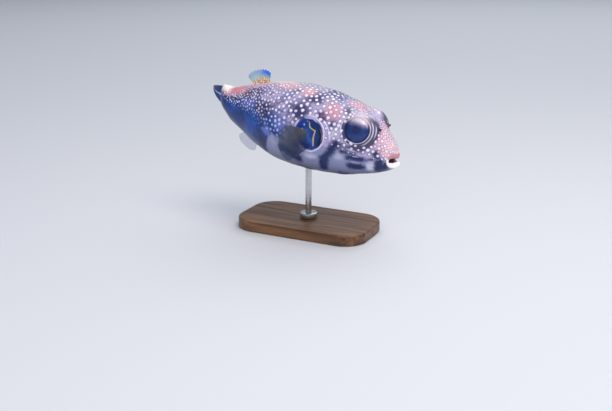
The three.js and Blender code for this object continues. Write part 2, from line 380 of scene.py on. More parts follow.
@dataclass(frozen=True)
class Body:
    """The plain form of head, trunk and tail, and the pose they are held in.

    A station row holds the distance behind the snout, the heights of back and belly,
    half the width, and the power of the section: 2 is an ellipse, more is boxier. The
    trunk bends evenly between bend_from and sweep_from, and the tail sweeps on behind.
    """

    stations: Knots = (
        (0, 0.5, -18.8, 12.0, 2.15),
        (7, 9.5, -23.6, 17.0, 2.2),
        (18, 21.0, -28.8, 23.2, 2.3),
        (32, 32.2, -33.9, 30.4, 2.45),
        (50, 41.8, -39.0, 36.2, 2.55),
        (76, 49.6, -44.3, 40.5, 2.4),
        (110, 53.8, -47.9, 43.5, 2.2),
        (145, 52.2, -47.3, 42.5, 2.15),
        (180, 44.7, -39.4, 33.0, 2.15),
        (210, 33.8, -25.2, 21.5, 2.15),
        (223, 29.0, -20.4, 16.6, 2.15),
        (234, 25.4, -13.8, 12.5, 2.15),
        (246, 24.5, -6.0, 7.5, 2.15),
        (252, 23.8, -3.0, 4.2, 2.15),
    )
    length: float = 252.0
    carried_at: float = 120.0
    carried_height: float = 130.0
    nose_down: float = math.radians(8.8)
    bend_from: float = 95.0
    sweep_from: float = 225.0
    bend: float = math.radians(3)
    sweep_per_mm: float = math.radians(0.8)

    def outline(self, at: Array) -> tuple[Array, Array, Array, Array]:
        """Returns back height, belly height, half width and section power."""
        return tuple(through(at, self.stations, column) for column in (1, 2, 3, 4))

    def surface(self, at: Array, angle: Array) -> Array:
        """Lays out points of the plain skin.

        Args:
            at: Distance behind the snout.
            angle: Direction in the section, 0 on the back and positive to the left.

        Returns:
            Rows of body measures.
        """
        back, belly, half, power = self.outline(at)
        rise = (back - belly) / 2
        across = np.abs(np.sin(angle) / half) ** power
        upright = np.abs(np.cos(angle) / rise) ** power
        reach = (across + upright) ** (-1 / power)
        height = (back + belly) / 2 + reach * np.cos(angle)
        return np.stack([-at * np.ones_like(reach), reach * np.sin(angle), height], -1)

    def side_at(self, at: Array, height: Array) -> Array:
        """Tells how wide the plain skin is.

        Args:
            at: Distance behind the snout.
            height: Height above the long axis.

        Returns:
            The skin's distance from the middle plane.
        """
        back, belly, half, power = self.outline(at)
        share = np.clip(np.abs((2 * height - back - belly) / (back - belly)), 0, 1)
        return half * (1 - share ** power) ** (1 / power)

    def place(self, points: Array) -> Array:
        """Poses points and moves them into the row frame.

        Args:
            points: Rows of body measures, in millimetres.

        Returns:
            Rows in the row frame, in metres.
        """
        at, side, height = -points[..., 0], points[..., 1], points[..., 2]
        rate = self.bend / (self.sweep_from - self.bend_from)
        flank = np.clip(at, self.bend_from, self.sweep_from) - self.bend_from
        tail = np.maximum(at - self.sweep_from, 0)
        turn = rate * flank
        heading = turn + self.sweep_per_mm * tail
        x = -np.minimum(at, self.bend_from) - np.sin(turn) / rate
        y = (1 - np.cos(turn)) / rate
        x = x - (np.sin(heading) - np.sin(turn)) / self.sweep_per_mm
        y = y + (np.cos(turn) - np.cos(heading)) / self.sweep_per_mm
        x = x + side * np.sin(heading) + self.carried_at
        y = y + side * np.cos(heading)
        dip, level = math.sin(self.nose_down), math.cos(self.nose_down)
        raised = height * level - x * dip + self.carried_height
        return np.stack([x * level + height * dip, y, raised], -1) * MM


@dataclass(frozen=True)
class EyeSeat:
    """Where an eye sits, and the mound, lid and socket of skin round it.

    A lid row holds a distance from the eye's axis on the plain skin, the distance it
    is moved to, and its height along the axis. They run from the bottom of the
    socket, up its wall, over the lid's crest and down to the mound.
    """

    at: float = 45.6
    side: float = 26.0
    height: float = 21.2
    lean: Triple = (0.12, 0.93, 0.34)
    seat: float = 5.0
    rim_height: float = 6.2
    mound_top: float = 14.5
    mound_fall: float = 5.0
    fillet: float = 2.6
    lid: Knots = (
        (0.0, 0.0, -3.4),
        (3.0, 6.6, -2.4),
        (6.0, 12.0, 1.2),
        (7.6, 13.75, 4.6),
        (8.8, 13.65, 5.8),
        (10.0, 13.5, 6.5),
        (11.2, 13.8, 6.85),
        (12.6, 14.6, 6.85),
        (14.0, 15.4, 6.45),
        (15.4, 16.2, 5.8),
        (17.0, 17.2, 4.85),
    )
    lid_ends: float = 17.0
    lid_fades: float = 2.0
    mound_merges: Pair = (11.0, 19.0)
    reach: float = 45.0
    depth: float = 24.0
    marks_depth: float = 14.0

    def centre(self, side: Side) -> Array:
        """Returns the point that the eye's sizes are taken from."""
        return np.array([-self.at, side.value * self.side, self.height])

    def axis(self, side: Side) -> Array:
        """Returns the direction in which the eye looks."""
        return unit((self.lean[0], side.value * self.lean[1], self.lean[2]))

    def forward(self, side: Side) -> Array:
        """Returns the direction towards the snout, square to the eye's axis."""
        axis = self.axis(side)
        return unit(np.array([1.0, 0.0, 0.0]) - axis[0] * axis)

    def measure(self, points: Array, side: Side) -> tuple[Array, Array, Array]:
        """Sets points against the eye's axis.

        Args:
            points: Rows of body measures.
            side: Which eye.

        Returns:
            Distance from the axis, height along it, and the angle round it: 0 is
            towards the snout and a quarter turn is upwards.
        """
        axis, forward = self.axis(side), self.forward(side)
        away = points - self.centre(side)
        height = away @ axis
        flat = away - height[..., None] * axis
        upward = np.cross(axis, forward) * side.value
        upward = upward * math.copysign(1, upward[2])
        return np.linalg.norm(flat, axis=-1), height, np.arctan2(flat @ upward, flat @ forward)

    def mound(self, distance: Array) -> Array:
        """Returns the mound's height at a distance from the axis."""
        return self.rim_height - np.maximum(distance - self.mound_top, 0) ** 2 / self.mound_fall

    def raise_skin(self, points: Array, side: Side) -> Array:
        """Lifts the plain skin into mound, lid and socket.

        Args:
            points: Rows of body measures on the plain skin.
            side: Which eye.

        Returns:
            The moved rows.
        """
        distance, height, _ = self.measure(points, side)
        near = (height > -self.depth) & (distance < self.reach)
        away, level = distance[near], height[near]
        mound = self.mound(away)
        merged = soft_max(level, mound, self.fillet)
        inside = np.minimum(away, self.lid_ends)
        lid = np.where(away < self.lid_ends, through(inside, self.lid, 2), mound)
        outward = np.where(away < self.lid_ends, through(inside, self.lid, 1), away)
        faded = smooth(self.lid_ends, self.lid_ends + self.lid_fades, away)
        outward = mix(outward, away, faded)
        raised = mix(lid, mound, faded) + smooth(*self.mound_merges, away) * (merged - mound)
        raised = mix(level, raised, smooth(-self.depth, -self.depth / 2, level))
        axis = self.axis(side)
        flat = points[near] - self.centre(side) - level[:, None] * axis
        ray = flat / np.maximum(away, 1e-9)[:, None]
        moved = points.copy()
        moved[near] = self.centre(side) + ray * outward[:, None] + axis * raised[:, None]
        return moved


@dataclass(frozen=True)
class Mouth:
    """The lips' ring, bent round the snout, and the hollow behind it."""

    height: float = -9.2
    half_width: float = 14.0
    rise: float = 5.3
    drop: float = 6.2
    front: float = -0.8
    set_back: float = 1.7
    wrap: float = 0.046
    lip_upper: float = 2.1
    lip_lower: float = 3.0
    lip_corner: float = 2.1
    lip_turned_in: float = math.radians(205)
    square: float = 0.74
    bow: float = 1.3
    bow_width: float = 5.0
    depth: float = 13.0

    def upper_share(self, angle: Array) -> Array:
        """Returns 1 over the upper lip and 0 over the lower, blended at the corners."""
        return smooth(-0.5, 0.5, np.cos(angle))

    def ring(self, angle: Array) -> tuple[Array, Array, Array, Array]:
        """Lays out the lips' middle line.

        Args:
            angle: Direction round the mouth, 0 upwards and positive to the left.

        Returns:
            Shares of the half width and of the reach at each direction, how far back the
            line lies, and the lip's radius.
        """
        across, upright = (np.sign(f(angle)) * np.abs(f(angle)) ** self.square
                           for f in (np.sin, np.cos))
        upper = self.upper_share(angle)
        thick = mix(self.lip_lower, self.lip_upper, upper)
        thick = mix(thick, self.lip_corner, np.sin(angle) ** 2)
        back = self.wrap * (self.half_width * across) ** 2
        at = self.front + back + self.set_back * upper * np.cos(angle) ** 2
        return across, upright, at, thick

    def lip_point(self, angle: Array, roll: Array) -> Array:
        """Lays out points of the lips.

        Args:
            angle: Direction round the mouth.
            roll: Turn round the lip: 0 outwards, a quarter turn forwards, a half inwards.

        Returns:
            Rows of body measures.
        """
        across, upright, at, thick = self.ring(angle)
        out = thick * np.cos(roll)
        side = (self.half_width + out) * across
        reach = mix(self.drop, self.rise, self.upper_share(angle))
        reach = reach - self.bow * hump(side, 0, self.bow_width)
        height = self.height + (reach + out) * upright
        return np.stack([thick * np.sin(roll) - at, side, height], -1)

    def throat_point(self, angle: Array, share: float) -> Array:
        """Lays out points of the hollow.

        Args:
            angle: Direction round the mouth.
            share: How far out, from 0 at the hollow's bottom to 1 at the lip.

        Returns:
            Rows of body measures.
        """
        rim = self.lip_point(angle, np.full_like(angle, self.lip_turned_in))
        deep = np.array([-self.depth, 0.0, self.height])
        across = mix(deep, rim, np.sin(share * math.pi / 2)) * (0, 1, 1)
        along = mix(deep, rim, 1 - np.cos(share * math.pi / 2)) * (1, 0, 0)
        return across + along


# ---- markings ----


@dataclass(frozen=True)
class Blotch:
    """A patch or a line from one point of the flank to another, given as (at, height)."""

    start: Pair
    end: Pair
    width: float = 0.0

    def edge(self, at: Array, height: Array) -> Array:
        """Sets places against the patch.

        Args:
            at: Distance behind the snout.
            height: Height above the long axis.

        Returns:
            The distance outside its edge, negative within it.
        """
        run = np.subtract(self.end, self.start)
        offset = np.stack([at - self.start[0], height - self.start[1]], -1)
        share = np.clip(offset @ run / (run @ run), 0, 1)
        return np.linalg.norm(offset - share[..., None] * run, axis=-1) - self.width / 2


@dataclass(frozen=True)
class Cloud:
    """A soft patch of tint on both flanks, by distance back and degrees from the back."""

    at: float
    turn: float
    length: float
    width: float
    share: float = 1.0


@dataclass(frozen=True)
class Ring:
    """A pale line round an eye, between two turns, in degrees from forwards."""

    radius: float
    width: float
    low: float
    high: float
    dashes: float = 0.0


@dataclass(frozen=True)
class Arc:
    """A line along part of a circle round the pectoral disc, fading out at both ends.

    It runs as far as span, in degrees, to either side of its middle.
    """

    radius: float
    middle: float
    span: float
    half_width: float

    def edge(self, distance: Array, degrees: Array) -> Array:
        """Sets places against the line.

        Args:
            distance: Distance from the disc's middle.
            degrees: Direction from there, in degrees from forwards.

        Returns:
            The distance outside its edge, negative within it.
        """
        off = np.abs(degrees - self.middle)
        line = np.abs(distance - self.radius)
        line = line - self.half_width * smooth(self.span, self.span - 20, off)
        return np.where(off < self.span, line, FAR)


@dataclass(frozen=True)
class Markings:
    """The puffer's pattern: spots, rings, blotches and the tints of each region, some of them
    painted highlights and shade.

    A mark is told by the distance outside its edge, a tint by its share from 0 to 1.
    """

    eye: EyeSeat
    eye_rings: tuple[Ring, ...] = (
        Ring(16.0, 0.6, -130, 50), Ring(18.6, 0.85, -62, 48), Ring(21.2, 0.7, -16, 34),
        Ring(19.0, 0.9, 58, 84, 0.5), Ring(22.0, 1.0, 46, 112, 0.7),
        Ring(25.2, 1.0, 22, 120, 0.8), Ring(28.2, 0.9, 30, 105, 0.9),
        Ring(19.2, 1.2, 138, 228, 0.7), Ring(19.8, 1.1, -122, -96, 0.1),
        Ring(24.6, 1.2, -114, -76, 0.2),
    )
    disc: Pair = (98.0, 5.0)
    disc_radius: float = 17.2
    disc_ring: Knots = (
        (-180, 20.6), (-120, 20.2), (-75, 19.0), (-46, 17.9), (-13, 17.4), (15, 17.9),
        (43, 19.6), (74, 20.9), (101, 23.6), (138, 22.6), (180, 20.6),
    )
    disc_ring_width: float = 1.2
    outer_arc: Arc = Arc(24.2, 31, 38, 0.7)
    gill_arc: Arc = Arc(15.0, 12, 34, 0.5)
    root_line: Knots = (
        (101.7, 20.6), (99.7, 15.2), (96.7, 13.7), (92.2, 12.3), (92.6, 3.0), (92.4, -6.4),
    )
    root_line_width: float = 1.05
    root_dots: Knots = ((108.4, 10.7, 3.0), (107.0, 16.4, 2.4), (104.0, 21.0, 1.6))
    cheek_line: Blotch = Blotch((44, -8.6), (38, -8.2), 0.5)
    blotches: tuple[Blotch, ...] = (
        Blotch((66, 3), (71, -8), 9.5), Blotch((70, -7), (79, -20), 9.5),
        Blotch((78, -20), (79, -32), 11.5), Blotch((57, -4.6), (42, -5.4), 4.6),
        Blotch((49, -10.5), (34, -10.5), 7.5), Blotch((47, -21.5), (33, -20.5), 8.5),
        Blotch((34, -11), (22, -9), 4.0), Blotch((21, -1), (15, -10), 7.0),
        Blotch((15, -11), (13, -27), 12.0), Blotch((9, -12), (9, -19), 7.0),
        # The first blotch on the next line is a painted shadow under the pectoral fin.
        Blotch((132, -20), (112, -28), 12.0), Blotch((112, -43), (82, -48), 7.0),
        Blotch((60, -38), (36, -36), 6.0), Blotch((164, -20), (163, -38), 12.0),
    )
    fold: Knots = ((166, 13), (158, 22), (150, 29.5), (142, 34.5))
    dark_clouds: tuple[Cloud, ...] = (
        Cloud(117, 54, 15, 12), Cloud(106, 30, 15, 9), Cloud(88, 7, 14, 11),
        Cloud(88, 54, 9, 8), Cloud(96, 20, 15, 9, 0.7), Cloud(168, 62, 20, 13, 0.8),
        Cloud(63, 33, 6, 7, 0.9), Cloud(74, 62, 7, 9, 0.9), Cloud(50, 92, 11, 6, 0.8),
        Cloud(218, 52, 24, 14, 0.7), Cloud(130, 24, 10, 5, 0.6), Cloud(199, 36, 28, 12, 0.9),
        Cloud(166, 76, 10, 9, 0.7), Cloud(40, 88, 14, 9, 0.85),
    )
    # These rose clouds are partly the skin's own tint and partly painted highlights on back and
    # snout.
    warm_clouds: tuple[Cloud, ...] = (
        Cloud(118, 23, 10, 7), Cloud(78, 42, 13, 11, 0.9), Cloud(148, 17, 24, 6, 0.9),
        Cloud(208, 10, 36, 9, 1.3), Cloud(222, 26, 18, 11, 1.2), Cloud(236, 38, 9, 9, 1.5),
        Cloud(57, 9, 14, 9, 0.8), Cloud(16, 20, 14, 20, 0.9),
    )
    blue_clouds: tuple[Cloud, ...] = (
        Cloud(79, 10, 10, 8, 0.8), Cloud(93, 4, 12, 6, 0.6), Cloud(138, 82, 18, 11, 0.7),
        Cloud(158, 99, 8, 8, 0.7), Cloud(195, 58, 26, 13, 0.7), Cloud(30, 72, 10, 14, 0.6),
    )
    pale_clouds: tuple[Cloud, ...] = (
        Cloud(24, 124, 6, 12), Cloud(60, 112, 9, 8, 0.45), Cloud(41, 117, 12, 3, 0.5),
        Cloud(96, 121, 10, 5, 0.6), Cloud(146, 114, 9, 12, 0.35), Cloud(70, 74, 7, 10, 0.7),
    )
    belly_starts: Knots = (
        (0, 116), (20, 112), (40, 100), (80, 102), (106, 118), (122, 112), (141, 101),
        (153, 109), (161, 138), (190, 152), (252, 168),
    )
    spots_end: Knots = (
        (0, 100), (20, 102), (40, 101), (60, 97), (80, 93), (105, 94), (130, 102), (150, 106),
        (165, 104), (180, 97), (215, 88), (252, 74),
    )
    spot_gaps: Knots = (
        (0, 3.5), (12, 3.9), (22, 4.3), (32, 4.8), (48, 5.1), (76, 5.9), (104, 6.4),
        (128, 6.0), (150, 5.1), (180, 4.0), (205, 3.4), (252, 3.0),
    )
    spot_size_varies: float = 0.16
    spot_seed: int = SEED

    def regions(self, at: Array, turn: Array) -> dict[str, Array]:
        """Tells how far each vertex belongs to each region of the body.

        Args:
            at: Distance behind the snout.
            turn: Direction in the section.

        Returns:
            Shares from 0 to 1, by region.
        """
        degrees = np.degrees(turn)
        past_belly_line = degrees - through(at, self.belly_starts)
        return {
            "back": smooth(50, 8, degrees) * smooth(30, 60, at) * smooth(190, 150, at),
            # The cream along the top of the back is a painted highlight.
            "crest": smooth(17, 4, degrees) * smooth(104, 176, at),
            # The rump's pink is partly the skin's own tint and partly a painted highlight.
            "rump": 0.85 * smooth(190, 222, at) * smooth(50, 26, degrees),
            # The belly's lilac grey is its own pale colour, partly darkened by painted shade.
            "belly": smooth(-7, 9, past_belly_line),
            # The lower rear flank's navy is partly its own colour and partly painted shade.
            "rear": smooth(37, 88, degrees + 0.25 * (at - 150)) * smooth(116, 146, at),
            # The snout's pink is partly its own tint and partly a painted highlight, and its paler
            # tip is a painted highlight.
            "snout": smooth(40, 8, at) * smooth(106, 66, degrees),
            "tip": 0.8 * smooth(20, 5, at) * smooth(96, 60, degrees),
            # The white on top of the tail's end is a painted highlight.
            "tail_top_highlight": smooth(227, 240, at) * smooth(44, 24, degrees),
            "dark": self.cloudiness(self.dark_clouds, at, degrees),
            "warm": self.cloudiness(self.warm_clouds, at, degrees),
            "blue": self.cloudiness(self.blue_clouds, at, degrees),
            "light": self.cloudiness(self.pale_clouds, at, degrees),
            # The darker grey under the belly is painted shade.
            "under": 0.85 * smooth(124, 158, degrees) * smooth(4, 30, at),
        }

    def cloudiness(self, clouds: tuple[Cloud, ...], at: Array, degrees: Array) -> Array:
        """Tells how much a set of clouds covers.

        Args:
            clouds: The clouds.
            at: Distance behind the snout.
            degrees: Direction in the section, in degrees.

        Returns:
            The share of the densest cloud at each place.
        """
        mm_per_degree = 0.75
        shares = [
            cloud.share * np.exp(-((at - cloud.at) / cloud.length) ** 2
                                 - ((degrees - cloud.turn) * mm_per_degree / cloud.width) ** 2)
            for cloud in clouds
        ]
        return np.max(shares, axis=0)

    def eye_pattern(self, points: Array) -> dict[str, Array]:
        """Lays out rings, lid, shade and a painted highlight on the upper lid round the eyes.

        Args:
            points: Rows of body measures.

        Returns:
            The distance outside the nearest ring line, and the others' shares.
        """
        edge = np.full(len(points), FAR)
        lid, shade, glow = (np.zeros(len(points)) for _ in range(3))
        for side in Side:
            distance, height, turn = self.eye.measure(points, side)
            degrees = np.degrees(turn)
            mine = (height > -self.eye.marks_depth) & (points[:, 1] * side.value > 0)
            for ring in self.eye_rings:
                within = (degrees - ring.low) % 360
                span = ring.high - ring.low
                taper = np.minimum(within, span - within)
                ripple = np.sin(np.radians(within) * ring.radius + ring.radius * 3)
                width = ring.width * smooth(-2, 18, taper) - ring.dashes * (1 + ripple) * 0.7
                line = np.abs(distance - ring.radius) - width / 2
                edge = np.where(mine & (within < span), np.minimum(edge, line), edge)
            # The shade reaches furthest in front of the eye, and a painted highlight pales the
            # upper lid.
            front = smooth(-0.35, 0.75, np.cos(turn + math.radians(12)))
            above = hump(degrees, 98, 42)
            clear = smooth(15, 60, degrees) * smooth(175, 130, degrees)
            lid = np.maximum(lid, mine * smooth(15.6, 14.9, distance) * (1 - clear))
            reach = 18.8 + 5.4 * front - 4.0 * above
            shade = np.maximum(shade, mine * smooth(reach + 2.5, reach - 1.5, distance))
            glow = np.maximum(glow, mine * above * smooth(23, 17.5, distance))
            glow = np.maximum(glow, mine * clear * smooth(17.5, 15.5, distance))
        return {"ring_edge": edge, "eye_lid": lid, "eye_shade": shade, "eye_glow": glow}

    def disc_place(self, points: Array) -> tuple[Array, Array]:
        """Sets points against the pectoral disc's middle.

        Args:
            points: Rows of body measures.

        Returns:
            Distance, large near the middle plane, where there is no disc, and degrees
            from forwards.
        """
        ahead = self.disc[0] + points[:, 0]
        above = points[:, 2] - self.disc[1]
        off_flank = np.where(np.abs(points[:, 1]) < 20, 60.0, 0.0)
        return np.hypot(ahead, above) + off_flank, np.degrees(np.arctan2(above, ahead))

    def disc_pattern(self, points: Array) -> dict[str, Array]:
        """Lays out the dark disc and the pale and yellow lines at the pectoral fin.

        Args:
            points: Rows of body measures.

        Returns:
            Distances outside each mark, and the shares of the disc's own tints.
        """
        distance, degrees = self.disc_place(points)
        at, height = -points[:, 0], points[:, 2]
        wobble = 0.5 * np.sin(np.radians(degrees * 5)) + 0.35 * np.sin(np.radians(degrees * 11))
        radius = through(degrees, self.disc_ring)
        # The pale ring is open behind, but for one short piece.
        ends = smooth(0, 14, 128 - np.abs(degrees + 10)) + smooth(18, 8, np.abs(degrees - 152))
        pale = np.abs(distance - radius) - self.disc_ring_width * np.clip(ends, 0, 1) / 2
        pale = np.where(ends > 0.05, pale, FAR)
        dark = np.minimum(radius - 1.0, self.disc_radius + 3.0 * smooth(60, 110, degrees))
        outer = self.outer_arc.edge(distance, degrees)
        gill = self.gill_arc.edge(distance, degrees)
        cheek = self.cheek_line.edge(at, height)
        root = [Blotch(start, end, self.root_line_width).edge(at, height)
                for start, end in zip(self.root_line, self.root_line[1:])]
        dots = [np.hypot((at - dot_at) * 1.3, height - dot_height) - size / 2
                for dot_at, dot_height, size in self.root_dots]
        off_flank = np.where(np.abs(points[:, 1]) < 20, FAR, 0.0)
        ahead = smooth(-0.5, 0.9, np.cos(np.radians(degrees - 25)))
        return {
            "disc_edge": distance - dark + wobble,
            "disc_deep": smooth(2, 13, distance) * ahead,
            "disc_glow": smooth(16, 6, distance) * (1 - ahead),
            "pale_edge": np.min([pale, outer, cheek], axis=0) + off_flank,
            "yellow_edge": np.min([gill, *root, *dots], axis=0).clip(max=FAR) + off_flank,
        }

    def fold_away(self, points: Array) -> Array:
        """Finds the crease that the bent tail makes in the flank.

        Args:
            points: Rows of body measures.

        Returns:
            The distance from it.
        """
        runs = zip(self.fold, self.fold[1:])
        away = np.min([Blotch(*ends).edge(-points[:, 0], points[:, 2]) for ends in runs], axis=0)
        return np.where(np.abs(points[:, 1]) < 15, FAR, away)

    def blotch_edge(self, points: Array) -> Array:
        """Returns the distance outside the nearest blotch of flank and belly, one of them a
        painted shadow under the pectoral fin.
        """
        return np.min([b.edge(-points[:, 0], points[:, 2]) for b in self.blotches], axis=0)

    def spot_spacing(self, at: Array, turn: Array) -> Array:
        """Tells how far apart the white spots are, most over the pectoral fin.

        Args:
            at: Distance behind the snout.
            turn: Direction in the section.

        Returns:
            The distance between neighbours.
        """
        top = smooth(50, 15, np.degrees(turn))
        cheek = smooth(62, 84, np.degrees(turn)) * smooth(58, 44, at) * smooth(8, 20, at)
        closer = (0.14 + 0.10 * smooth(90, 60, at)) * top
        return through(at, self.spot_gaps) * (1 + 0.2 * cheek - closer)

    def spot_radius(self, at: Array, turn: Array) -> Array:
        """Returns the white spots' radius, before each one's own variation."""
        return 0.27 * self.spot_spacing(at, turn) + 0.1 + 0.15 * smooth(40, 15, at)

    def spot_share(self, at: Array, turn: Array) -> Array:
        """Tells how white the spots are: fainter on crown and rump and low on the flank.

        Args:
            at: Distance behind the snout.
            turn: Direction in the section.

        Returns:
            Their share of white.
        """
        degrees = np.degrees(turn)
        low = smooth(60, 100, degrees) * smooth(100, 128, at)
        crown = smooth(40, 22, degrees) * smooth(88, 70, at) * smooth(20, 40, at)
        behind = smooth(62, 88, degrees) * smooth(152, 178, at)
        rump = smooth(38, 22, degrees) * smooth(196, 220, at)
        return (1 - 0.55 * low - 0.3 * crown) * (1 - 0.8 * behind) * (1 - 0.45 * rump)

    def spots_grow(self, points: Array, at: Array, turn: Array) -> Array:
        """Tells where white spots can lie: not on belly, eyes or pectoral disc.

        Args:
            points: Rows of body measures.
            at: Distance behind the snout.
            turn: Direction in the section.

        Returns:
            A size factor, 0 where there is no spot.
        """
        past_end = np.degrees(turn) - through(at, self.spots_end)
        size = smooth(8, -14, past_end) * (at > 2.5)
        for side in Side:
            distance, height, eye_turn = self.eye.measure(points, side)
            front = smooth(-0.1, 0.7, np.cos(eye_turn - math.radians(20)))
            clear = 17.0 + 7.0 * front
            size = size * np.where((height > -self.eye.marks_depth) & (distance < clear), 0, 1)
        distance, degrees = self.disc_place(points)
        return size * smooth(0.8, 2.6, distance - through(degrees, self.disc_ring))

    def scatter(self, points: Array, at: Array, turn: Array) -> tuple[Array, Array, Array]:
        """Scatters white spots evenly over the skin, no two closer than their spacing.

        Args:
            points: Rows of body measures, one for each vertex.
            at: Distance behind the snout.
            turn: Direction in the section.

        Returns:
            The vertices that hold a spot, each one's radius, and how white each is.
        """
        spacing = self.spot_spacing(at, turn)
        size = self.spots_grow(points, at, turn)
        tree = tree_of(points)
        draw = np.random.default_rng(self.spot_seed)
        taken = size < 0.3
        chosen = []
        for index in draw.permutation(len(points)):
            if taken[index]:
                continue
            chosen.append(index)
            for _, other, _ in tree.find_range(points[index], spacing[index] * 0.93):
                taken[other] = True
        chosen = np.array(chosen)
        vary = draw.normal(1.0, self.spot_size_varies, len(chosen)).clip(0.65, 1.4)
        fade = draw.uniform(0.72, 1.0, len(chosen)) * self.spot_share(at, turn)[chosen]
        return chosen, self.spot_radius(at, turn)[chosen] * size[chosen] * vary, fade


# ---- skin ----


@dataclass(frozen=True)
class PufferSkin:
    """Scaleless, finely prickled fish skin, wet: satin, with white spots on mauve.

    The layers are laid over the ground in order, each where its mask says so. The real
    prickles stand under 1 mm apart, and are drawn at 1.7 mm so that they show.
    """

    ground: str = "#a8a3ca"
    ground_warm: str = "#bca8c6"
    layers: tuple[tuple[str, str], ...] = (
        # The navy of the lower rear flank, with its clouds, is partly its own colour and partly
        # painted shade.
        ("mottle", "#6e6ca2"), ("back", "#918ca8"), ("rear", "#0c4292"),
        ("rear_cloud", "#2f5fb6"), ("rear_dark", "#111f52"), ("blue", "#6b7ac6"),
        # The cream crest is a painted highlight along the top of the back.
        # The warm and rump pinks are partly the skin's own tint and partly painted highlight.
        ("dark", "#393866"), ("warm", "#d4959f"), ("rump", "#ee8b93"), ("crest", "#f3dcc4"),
        # The belly's tone is its own pale colour, partly darkened by painted shade.
        # The snout's pink is partly a painted highlight, and its pale tip is a painted highlight.
        ("snout", "#e2adbd"), ("tip", "#f4cdcb"), ("belly", "#868cb2"),
        # The blotches are the skin's own, but for one painted shadow under the pectoral fin.
        # The dark grey under the belly is painted shade.
        ("under", "#5e6075"), ("light", "#c9c6dc"), ("blotch", "#0f2258"),
        # The pale upper lid is a painted highlight.
        ("eye_shade", "#494263"), ("eye_glow", "#c6b6c6"), ("disc", "#07358e"),
        ("disc_deep", "#06285e"), ("disc_glow", "#1f54b0"), ("halo", "#4d4870"),
        ("spots", "#f1ebff"), ("ring", "#e4dff2"), ("eye_lid", "#16265a"),
        # The dark line along the tail's crease is painted shade.
        ("pale", "#e2ddf9"), ("yellow", "#c9b85a"), ("fold", "#262650"),
        # The white on top of the tail's end is a painted highlight.
        ("tail_top_highlight", "#fff8f0"), ("lip_upper", "#c1858b"), ("lip_lower", "#fdfafa"),
        # The throat's dark violet is partly painted shade inside the mouth.
        ("throat", "#5a4474"),
    )
    broken: tuple[str, ...] = ("back", "belly", "crest", "rear", "snout", "dark", "warm",
                               "blue", "light")
    edges: tuple[tuple[str, float, float], ...] = (
        ("ring", 0.55, 1.1), ("pale", 0.6, 1.6), ("yellow", 0.5, 1.6), ("disc", 0.8, 1.6),
        ("blotch", 3.0, 9.0),
    )
    roughness: float = 0.4
    prickle_mm: float = 1.7
    grain_mm: float = 1.1
    wobble_mm: float = 3.2
    mottle_mm: float = 11.0
    broad_mm: float = 26.0

    def make(self, names: list[str]) -> Material:
        """Builds the material.

        Args:
            names: The attributes to read: shares, and the distances outside marks.

        Returns:
            The skin.
        """
        recipe = Recipe("wet_puffer_skin")
        add = recipe.add
        place = add("TexCoord", output="Object")
        read = {name: add("Attribute", output="Fac", attribute_name=name) for name in names}
        broad = add("TexNoise", {"Vector": place, "Scale": scale_for(self.broad_mm),
                                 "Detail": 3.0, "Roughness": 0.55})
        patch = add("TexNoise", {"Vector": place, "Scale": scale_for(self.mottle_mm),
                                 "Detail": 4.0, "Roughness": 0.6, "Distortion": 0.6})
        fine = add("TexNoise", {"Vector": place, "Scale": scale_for(self.grain_mm),
                                "Detail": 3.0, "Roughness": 0.6})
        masks = dict(read)
        masks["mottle"] = self._mottle(recipe, patch, broad, read["belly"])
        masks["spots"], masks["halo"] = self._spots(recipe, place, fine, read["rear"])
        # Lighter and darker clouds in the rear flank's navy, which is partly painted shade.
        for name, pattern, low, high, most in (("rear_cloud", patch, 0.46, 0.64, 0.7),
                                               ("rear_dark", broad, 0.5, 0.36, 0.6)):
            cloud = add("MapRange", {"Value": pattern, "From Min": low, "From Max": high,
                                     "To Max": most})
            masks[name] = add("Math", {0: cloud, 1: read["rear"]}, **TIMES)
        for name, softness, wobble in self.edges:
            masks[name] = self._inside(recipe, read[f"{name}_edge"], patch, softness, wobble)
        worn = add("MapRange", {"Value": broad, "From Min": 0.35, "From Max": 0.6, "To Min": 0.95})
        masks["blotch"] = add("Math", {0: masks["blotch"], 1: worn}, **TIMES)
        for name in ("disc_deep", "disc_glow"):
            part = self._broken(recipe, read[name], patch)
            masks[name] = add("Math", {0: part, 1: masks["disc"]}, **TIMES)
        for name in self.broken:
            masks[name] = self._broken(recipe, read[name], patch)
        colour = add("Mix", {"Factor": broad, 6: self.ground, 7: self.ground_warm}, **IN_COLOUR)
        for name, tint in self.layers:
            colour = add("Mix", {"Factor": masks[name], 6: colour, 7: tint}, **IN_COLOUR)
        grain = add("MapRange", {"Value": fine, "From Min": 0.3, "From Max": 0.7,
                                 "To Min": 0.88, "To Max": 1.12})
        colour = add("Mix", {"Factor": 1.0, 6: colour, 7: grain}, **IN_COLOUR,
                     blend_type="MULTIPLY")
        rough = add("MapRange", {"Value": patch, "From Min": 0.3, "From Max": 0.7,
                                 "To Min": self.roughness - 0.06,
                                 "To Max": self.roughness + 0.1})
        normal = self._relief(recipe, place, fine, masks["spots"])
        return recipe.finish({"Base Color": colour, "Roughness": rough, "IOR": 1.4,
                              "Coat Weight": 0.15, "Coat Roughness": 0.22, "Normal": normal})

    def _inside(self, recipe: Recipe, edge: Socket, pattern: Socket, softness: float,
                wobble: float) -> Socket:
        """Turns the distance outside a mark into its share.

        Args:
            recipe: The material.
            edge: The distance.
            pattern: The noise that makes the edge ragged.
            softness: Half the width over which the mark fades.
            wobble: How far the noise moves its edge.

        Returns:
            The mark's share.
        """
        ragged = recipe.add("Math", {0: pattern, 1: -wobble, 2: edge}, **TIMES_PLUS)
        return recipe.add("MapRange", {"Value": ragged, "From Min": softness - wobble / 2,
                                       "From Max": -softness - wobble / 2}, **SOFT)

